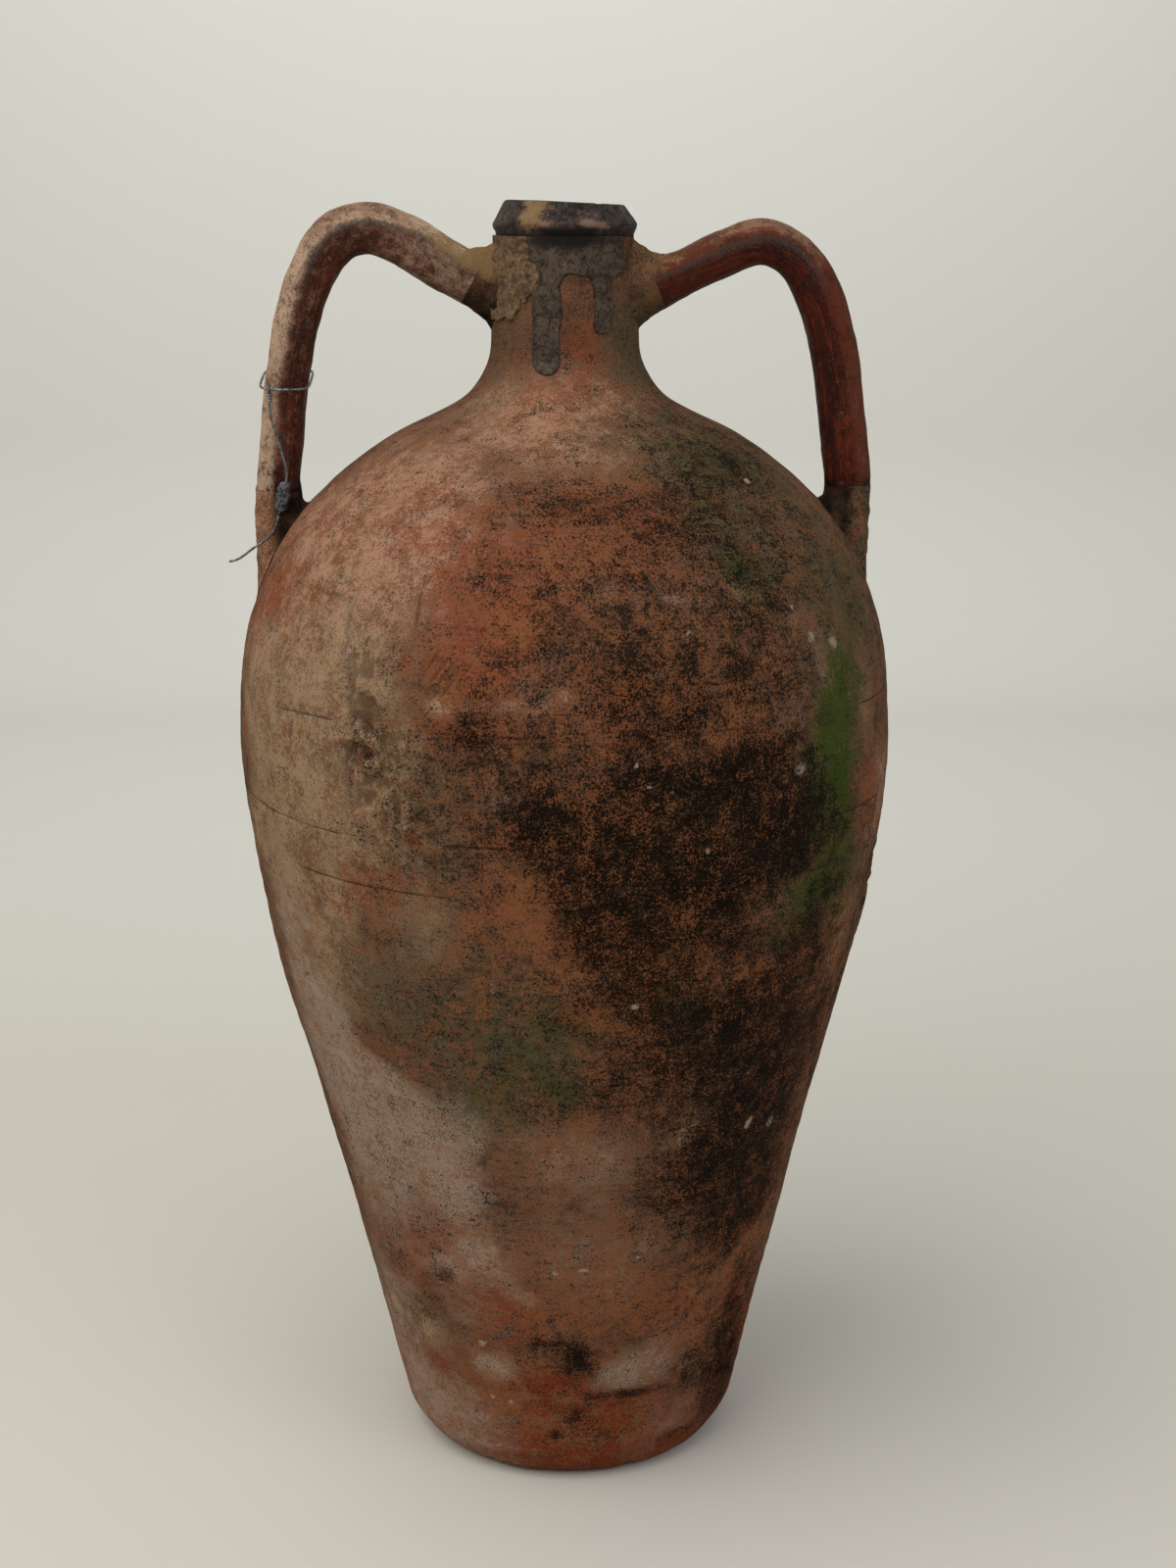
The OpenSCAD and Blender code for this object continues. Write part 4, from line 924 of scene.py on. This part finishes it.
def luting(name, start_ring, start_way, foot_ring, pull, material, seed, marks):
    """A smeared collar of clay: for each point round it a cubic Bezier curve, which leaves the
    handle's round end along the handle and lies down along the jar at its foot ring. Between
    the two ends it is lumpy, as pressed on by fingers. pull is the length of its handles; marks
    gives the strength of each mark for each point round it."""
    t = np.linspace(0, 1, 48)[:, None, None]
    inward = foot_ring.mean(axis=0) - foot_ring
    inward /= np.linalg.norm(inward, axis=1)[:, None]
    p0, p3 = start_ring[None], foot_ring[None]
    p1 = p0 + pull[0] * start_way
    p2 = p3 + pull[1] * inward[None]
    grid = (1 - t)**3 * p0 + 3 * (1 - t)**2 * t * p1 + 3 * (1 - t) * t**2 * p2 + t**3 * p3
    centre = grid.mean(axis=1, keepdims=True)
    ray = grid - centre
    ray /= np.linalg.norm(ray, axis=-1, keepdims=True) + 1e-9
    free = (np.sin(math.pi * np.clip(t, 0, 1)) ** 0.7)
    lumps = 0.9 * layered_noise(grid, 8, 3, seed) + 0.4 * layered_noise(grid, 3.5, 2, seed + 3) + 0.45
    grid = grid + free * ray * lumps[..., None]
    piece = tube_piece(name + "_clay", grid, "jar", [name])
    mark(piece)
    for key, value in marks.items():
        rows = np.broadcast_to(value, grid.shape[:2]) * (1 + 0.35 * noise(grid, 7, seed + 9))
        add_attribute(piece, key, np.append(np.clip(rows, 0, 1).ravel(), [0, 0]))
    piece.data.materials.append(material)


def root_luting(name, route, side, half_turn, half_h, drop, material, seed, ochre, grime_and_shade):
    """The collar at a handle's root: its foot ring is an oval on the neck's surface, which
    reaches up to the rim."""
    a = np.linspace(0, 2 * math.pi, 120, endpoint=False)
    way = smooth_path(route, np.array([0.0, 0.01]))
    way = way[0] - way[1]
    way /= np.linalg.norm(way)
    top = smooth_step(0.0, 0.9, np.cos(a))
    end_r = ROOT_END_R - 0.9 * top
    start = np.stack([side * (route[0, 0] + way[1] * end_r * np.cos(a) - 10 * top * way[0]), end_r * np.sin(a),
                      route[0, 1] - way[0] * end_r * np.cos(a) - 10 * top * way[1]], axis=-1)
    middle = route[0, 1] - drop
    height = middle + np.where(np.cos(a) > 0, 682 - middle, half_h) * np.cos(a)
    turn = side * (math.pi / 2 + np.arcsin(np.clip(half_turn * np.sin(a), -1, 1)))
    foot = jar_point(turn, height, outline_r(height) - 0.8)
    marks = {"ochre": ochre * smooth_step(0.0, 0.6, np.cos(a)),
             # Grey-black grime below the collar's top, deepened towards its underside as painted shade
             "grime_and_shade": grime_and_shade * (0.6 * smooth_step(0.5, 0.0, np.cos(a)) + 0.4 * smooth_step(0.0, -0.7, np.cos(a)))}
    pull = (7 - 3 * top)[:, None]
    luting(name, start, np.array([side * way[0], 0, way[1]]), foot, (pull, pull), material, seed, marks)


def foot_luting(name, route, side, material, seed, grime_and_shade, slip):
    """The collar at a handle's foot: its foot ring is where the handle, run on down and flared,
    would meet the shoulder. slip is the kind of mark that its outer face bears."""
    a = np.linspace(0, 2 * math.pi, 120, endpoint=False)
    shoulder_z = np.linspace(430, 590, 200)
    shoulder_r = outline_r(shoulder_z)
    start = np.stack([side * (route[-1, 0] + FOOT_END_R * np.cos(a)), FOOT_END_R * np.sin(a),
                      np.full(120, route[-1, 1])], axis=-1)
    x = route[-1, 0] + (FOOT_END_R + 4.0 * smooth_step(0.9, -0.5, np.cos(a)) + 1.5) * np.cos(a)
    y = (FOOT_END_R + 5.0) * np.sin(a)
    z = np.interp(-np.hypot(x, y), -shoulder_r, shoulder_z)
    foot = jar_point(np.arctan2(side * x, -y), z, outline_r(z) - 0.8)
    # Painted shade on the collar's inner side, against the shoulder; its outer face bears the slip
    marks = {"grime_and_shade": grime_and_shade * smooth_step(0.35, -0.15, np.cos(a)), slip: smooth_step(-0.4, 0.2, np.cos(a))}
    luting(name, start, np.array([0, 0, -1.0]), foot, (9.0, 5.0), material, seed, marks)


# Coatings on the neck
def coating(name, turns, heights, thickness, sink, material, relief_mm, seed):
    """A skin on the neck as one closed sheet: its upper face stands off the neck by a thickness
    that is worked out for each point, and sinks below the surface where there is no coating."""
    turn, height = np.meshgrid(turns, heights)
    plain = jar_point(turn, height, outline_r(height))
    thick = thickness(turn, height, plain)
    cover = smooth_step(0.0, 0.35, thick)
    out = thick * (1 + relief_mm * layered_noise(plain, 5, 3, seed)) * cover - sink * (1 - cover)
    top = outer_point(turn, height, out)
    under = jar_point(turn, height, outline_r(height) - 2.0)
    grid = np.concatenate([top, under[:, ::-1]], axis=1)
    piece = tube_piece(name + "_skin", grid, "jar", [name])
    smoke = under_rim(plain) * smooth_step(673, 680, height + 2 * noise(plain, 6, seed + 3))
    edge = np.maximum(0.9 * np.exp(-(((thick - 0.3) / 0.3) ** 2)), smoke)
    add_attribute(piece, "edge", np.append(np.concatenate([edge, 0 * edge], axis=1).ravel(), [0, 0]))
    piece.data.materials.append(material)


def run_depth(x, height, p, middle, half_w, tip, seed):
    """How far inside a run of pitch a point lies, in mm: its sides waver and its tip is round."""
    side = middle + 0.8 * noise(p, 14, seed)
    return half_w - np.hypot(x - side, np.minimum(height - (tip + half_w), 0))


def joined(a, b, radius):
    """The greater of two depths, with the corner between them filled out to a radius."""
    return np.maximum(a, b) + np.maximum(radius - np.abs(a - b), 0) ** 2 / (4 * radius)


def pitch_thickness(turn, height, p):
    """Thickness of the old pitch: a band round the front of the neck with a long and a short run."""
    x = outline_r(height) * np.sin(turn)
    front = smooth_step(-1.0, 1.0, 31 - x + 4 * layered_noise(p, 12, 3, 89)) * smooth_step(1.75, 1.45, -turn)
    band = height - 662 + 1.6 * noise(p, 9, 83) + 0.7 * noise(p, 3, 84)
    long_run = run_depth(x, height, p, -9.5, 7.3, 611.5, 85)
    short_run = run_depth(x, height, p, 19.8, 4.8, 632, 87)
    depth = joined(joined(band, long_run, 8), short_run, 6)
    return front * smooth_step(-0.7, 1.0, depth) * (0.9 + 0.35 * smooth_step(0, 6, -band))


def mortar_thickness(turn, height, p):
    """Thickness of the mortar: a ragged crust on the neck's left."""
    degrees = np.degrees(turn)
    edge = 14 * layered_noise(p, 15, 4, 91)
    inside = smooth_step(-2.0, 2.0, np.minimum(np.minimum(-29 - degrees + edge, degrees + 112 + edge),
                                               (height - 646 + edge) * 1.5))
    return inside * (1.7 + 0.9 * noise(p, 6, 93) + 0.5 * smooth_step(0, 0.5, noise(p, 3, 94)))


# Wire and seal
def tube_grid(path, radius, sides, twist=0.0, lobes=0.0):
    """Rings of points carried along a path of points, each ring turned as little as possible
    from the one before, and twisted by an angle a millimetre. lobes makes the section two-lobed."""
    way = np.gradient(path, axis=0)
    way /= np.linalg.norm(way, axis=1)[:, None]
    normal = np.cross(way[0], [0.0, 1.0, 0.0])
    if np.linalg.norm(normal) < 0.1:
        normal = np.cross(way[0], [1.0, 0.0, 0.0])
    normals = [normal / np.linalg.norm(normal)]
    for w in way[1:]:
        n = normals[-1] - np.dot(normals[-1], w) * w
        normals.append(n / np.linalg.norm(n))
    normals = np.array(normals)
    across = np.cross(way, normals)
    length = np.concatenate([[0], np.cumsum(np.linalg.norm(np.diff(path, axis=0), axis=1))])
    a = np.linspace(0, 2 * math.pi, sides, endpoint=False)[None, :] + 0 * length[:, None]
    r = np.broadcast_to(np.asarray(radius, dtype=float), len(path))[:, None]
    r = r * (1 - lobes / 2 + lobes * np.cos(2 * (a - twist * length[:, None])) / 2)
    return (path[:, None] + (r * np.cos(a))[..., None] * normals[:, None]
            + (r * np.sin(a))[..., None] * across[:, None])


def in_plane(points, start=(0.0, 0.0)):
    """Points (x, z) counted from the eye's middle, as points in the row's frame in mm."""
    points = np.asarray(points) + np.asarray(start)
    return np.stack([EYE[0] + points[:, 0], np.full(len(points), EYE[1]), EYE[2] + points[:, 1]], axis=-1)


def free_wire(name, points, start, material):
    """A free length of the wire, as a thin tube of two twisted strands."""
    knots = in_plane(points, start)
    path = smooth_path(knots, np.linspace(0, len(knots) - 1, 12 * len(knots)))
    piece = tube_piece(name + "_strand", tube_grid(path, WIRE_R, 16, 1.1, 0.16), "pendant", [name])
    piece.data.materials.append(material)
    return piece


def seal(material):
    """The lead pellet: a barrel round the wire with fuller ends, squeezed flat front and back,
    with the folds and flash of a seal closed with pliers."""
    t = np.linspace(0, math.pi, 60)[:, None]
    a = np.linspace(0, 2 * math.pi, 72, endpoint=False)[None, :]
    barrel = np.abs(np.sin(t)) ** 0.45
    x = SEAL_W / 2 * barrel * np.sign(np.cos(a)) * np.abs(np.cos(a)) ** 0.8
    y = SEAL_T / 2 * barrel * np.sign(np.sin(a)) * np.abs(np.sin(a)) ** 0.6
    along = SEAL_LEN / 2 * (1 + np.cos(t)) + 0 * a
    plain = np.stack([x, y, along], axis=-1)
    rough = 1 + 0.16 * layered_noise(plain, 3.2, 3, 95)
    x, y = x * rough, y * rough
    c, s = math.cos(SEAL_LEAN), math.sin(SEAL_LEAN)
    grid = np.stack([EYE[0] + SEAL_END[0] + c * x + s * along, EYE[1] + y,
                     EYE[2] + SEAL_END[1] - s * x + c * along], axis=-1)
    piece = tube_piece("lead_seal_pellet", grid, "pendant", ["lead_seal"])
    piece.data.materials.append(material)
    return piece


def tie_loop(material):
    """The loop round the handle's leg: a rounded rectangle, higher at the back, with the small
    kinks of wire bent by hand."""
    low, high = (np.array(c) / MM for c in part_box("tie_loop"))
    half_w = (high[0] - low[0]) / 2 - WIRE_R
    front, back = low[1] + WIRE_R, high[1] - WIRE_R
    a = np.linspace(0, 2 * math.pi, 240, endpoint=False)
    power = 2 / 5.0
    x = (low[0] + high[0]) / 2 + half_w * np.sign(np.cos(a)) * np.abs(np.cos(a)) ** power
    y = (front + back) / 2 + (back - front) / 2 * np.sign(np.sin(a)) * np.abs(np.sin(a)) ** power
    z = low[2] + WIRE_R + (high[2] - low[2] - 2 * WIRE_R) * (y - front) / (back - front)
    path = np.stack([x, y, z], axis=-1)
    straight = np.exp(-(((path[:, 0] - EYE[0]) / 3) ** 2)) * (path[:, 1] < 0)
    path[:, 2] += (1 - straight) * 0.35 * noise(path, 9, 97)
    grid = tube_grid(np.vstack([path, path[:2]]), WIRE_R, 16)[:-2]
    piece = ring_piece("tie_loop_wire", grid, "jar", ["tie_loop"])
    piece.data.materials.append(material)


def eye_and_twist(material):
    """The eye round the loop and the short twist below it: a ring, and turns of wire wound
    round the hanging wire."""
    ring_r = 2 * WIRE_R + 0.35
    a = np.linspace(0, 2 * math.pi, 80, endpoint=False)
    path = EYE + np.stack([0 * a, ring_r * np.sin(a), ring_r * np.cos(a)], axis=-1)
    ring = ring_piece("wire_eye_ring", tube_grid(np.vstack([path, path[:2]]), WIRE_R, 16)[:-2],
                      "pendant", ["wire_eye"])
    ring.data.materials.append(material)
    t = np.linspace(0, 1, 120)
    wound = 3.2 * 2 * math.pi * t
    path = EYE + np.stack([0.75 * np.cos(wound), 0.75 * np.sin(wound), -1.9 - 4.6 * t], axis=-1)
    twist = tube_piece("wire_eye_twist", tube_grid(path, 0.6, 12), "pendant", [])
    twist.data.materials.append(material)


# Studio
def studio_sweep():
    """A pale paper sweep: flat floor that curves up behind into a wall."""
    x = np.linspace(-4, 4, 3)
    a = np.linspace(0, math.pi / 2, 24)
    depth = np.concatenate([[-3.0], 1.9 + 0.35 * np.sin(a), [2.25]])
    height = np.concatenate([[0], 0.35 * (1 - np.cos(a)), [5.0]])
    points = np.stack(np.broadcast_arrays(x[None, :], depth[:, None], height[:, None]), axis=-1).reshape(-1, 3)
    rows = len(depth)
    i, k = np.meshgrid(np.arange(rows - 1), np.arange(2), indexing="ij")
    quads = np.stack([i * 3 + k, i * 3 + k + 1, (i + 1) * 3 + k + 1, (i + 1) * 3 + k], axis=-1).reshape(-1, 4)
    mesh = bpy.data.meshes.new("studio_sweep")
    mesh.from_pydata(points.tolist(), [], quads.tolist())
    mesh.polygons.foreach_set("use_smooth", [True] * len(quads))
    sweep = bpy.data.objects.new("studio_sweep", mesh)
    bpy.context.scene.collection.objects.link(sweep)
    sweep.data.materials.append(plain_paper("studio_paper", "#d8d6ce"))


def area_light(name, place, aim, size, power, colour):
    """A square soft light that faces a point."""
    data = bpy.data.lights.new(name, "AREA")
    data.size = size
    data.energy = power
    data.color = linear(colour)[:3]
    light = bpy.data.objects.new(name, data)
    light.location = place
    way = np.array(aim) - np.array(place)
    yaw = math.atan2(way[1], way[0]) - math.pi / 2
    pitch = math.atan2(way[2], math.hypot(way[0], way[1]))
    light.rotation_euler = (math.pi / 2 + pitch, 0, yaw)
    bpy.context.scene.collection.objects.link(light)


def studio_light():
    """Soft daylight from the upper left, a weak fill and an even surround."""
    world = bpy.data.worlds.new("surround")
    bpy.context.scene.world = world
    world.use_nodes = True
    world.node_tree.nodes["Background"].inputs["Color"].default_value = linear("#f2f3f1")
    world.node_tree.nodes["Background"].inputs["Strength"].default_value = 0.49
    area_light("window", (-0.95, -0.75, 2.3), (0.1, 0, 0.2), 2.6, 41, "#fff9f0")
    area_light("fill", (1.5, -1.3, 1.3), (0.5, 0.1, 0), 1.4, 7.5, "#f6f6ff")
    area_light("paper_wash", (0, 0.9, 2.0), (0, 2.2, 1.75), 1.5, 17, "#eef6ff")


# The jar
make_camera()
iron = tarnished_metal("tarnished_iron_wire", "#8d9094", "#3c3a38", 0.42)
lead = tarnished_metal("pressed_lead", "#6d6f74", "#26262a", 0.55)
pellet = seal(lead)
free_wire("hanger_wire", HANGER, (0, 0), iron)
free_wire("tail_wire", TAIL, SEAL_END, iron)
eye_and_twist(iron)
tie_loop(iron)

body_clay = fired_earthenware("fired_earthenware_body", "#654a39", "#4a3529")
shoulder_clay = fired_earthenware("fired_earthenware_shoulder", "#7b5a48", "#5c4233")
neck_clay = fired_earthenware("fired_earthenware_neck", "#6b4a3b", "#51372b", -0.25)
foot_clay = fired_earthenware("fired_earthenware_foot", "#6f3521", "#54301f")
course("lower_wall", FOOT_T, JOINTS[0], 0, LAP, 540, 2.05, body_clay)
course("joining_coil", JOINTS[0], JOINTS[1], LAP, LAP, 820, 1.3, body_clay)
course("belly_band", JOINTS[1], JOINTS[2], LAP, LAP, 820, 1.3, body_clay)
course("shoulder_dome", JOINTS[2], JOINTS[3], LAP, LAP, 680, 1.65, shoulder_clay)
course("neck", JOINTS[3], GROOVE_Z, LAP, RIM_LAP, 320, 0.8, neck_clay)
foot_disc(foot_clay)
rim(crusted("smoked_rim_clay", "#453c3a", "#1d1616", "#0f0b0b", 6, 0.6, 0.7))

strap("handle_left", LEFT_ROUTE, strap_sizes(27.5, 23.2), -1,
      rubbed_clay("rubbed_slip_left_handle", "#b99c83", "#3d170c", "#6a3020", "#2a1c18", 0.6), 101, 0.6, 0.95)
strap("handle_right", RIGHT_ROUTE, strap_sizes(24.4, 25.4), 1,
      rubbed_clay("rubbed_slip_right_handle", "#5f2d1c", "#35140b", "#6a2a15", "#22100e", 0.5), 121, 0.2, 0.5)
root_luting("handle_left_root", LEFT_ROUTE, -1, 0.62, 21, 8, neck_clay, 141, 0.9, 0.9)
root_luting("handle_right_root", RIGHT_ROUTE, 1, 0.62, 21, 6, neck_clay, 143, 0.5, 0.25)
foot_luting("handle_left_foot", LEFT_ROUTE, -1, shoulder_clay, 145, 0.97, "tan")
foot_luting("handle_right_foot", RIGHT_ROUTE, 1, shoulder_clay, 147, 0.9, "drab")

coating("pitch_run", np.linspace(-1.9, 1.9, 230), np.linspace(606.5, 681.8, 200), pitch_thickness, 0.5,
        crusted("old_dull_pitch", "#5c4f45", "#31271f", "#110d0a", 5, 0.6, 0.8), 0.35, 151)
coating("mortar_crust", np.linspace(-2.15, -0.35, 180), np.linspace(634, 681.8, 150), mortar_thickness, 0.5,
        crusted("ochre_lime_mortar", "#927656", "#5b4937", "#4c3b2b", 3.5, 1.1, 0.9), 0.5, 153)

studio_sweep()
studio_light()
bpy.context.scene.view_settings.view_transform = "Standard"
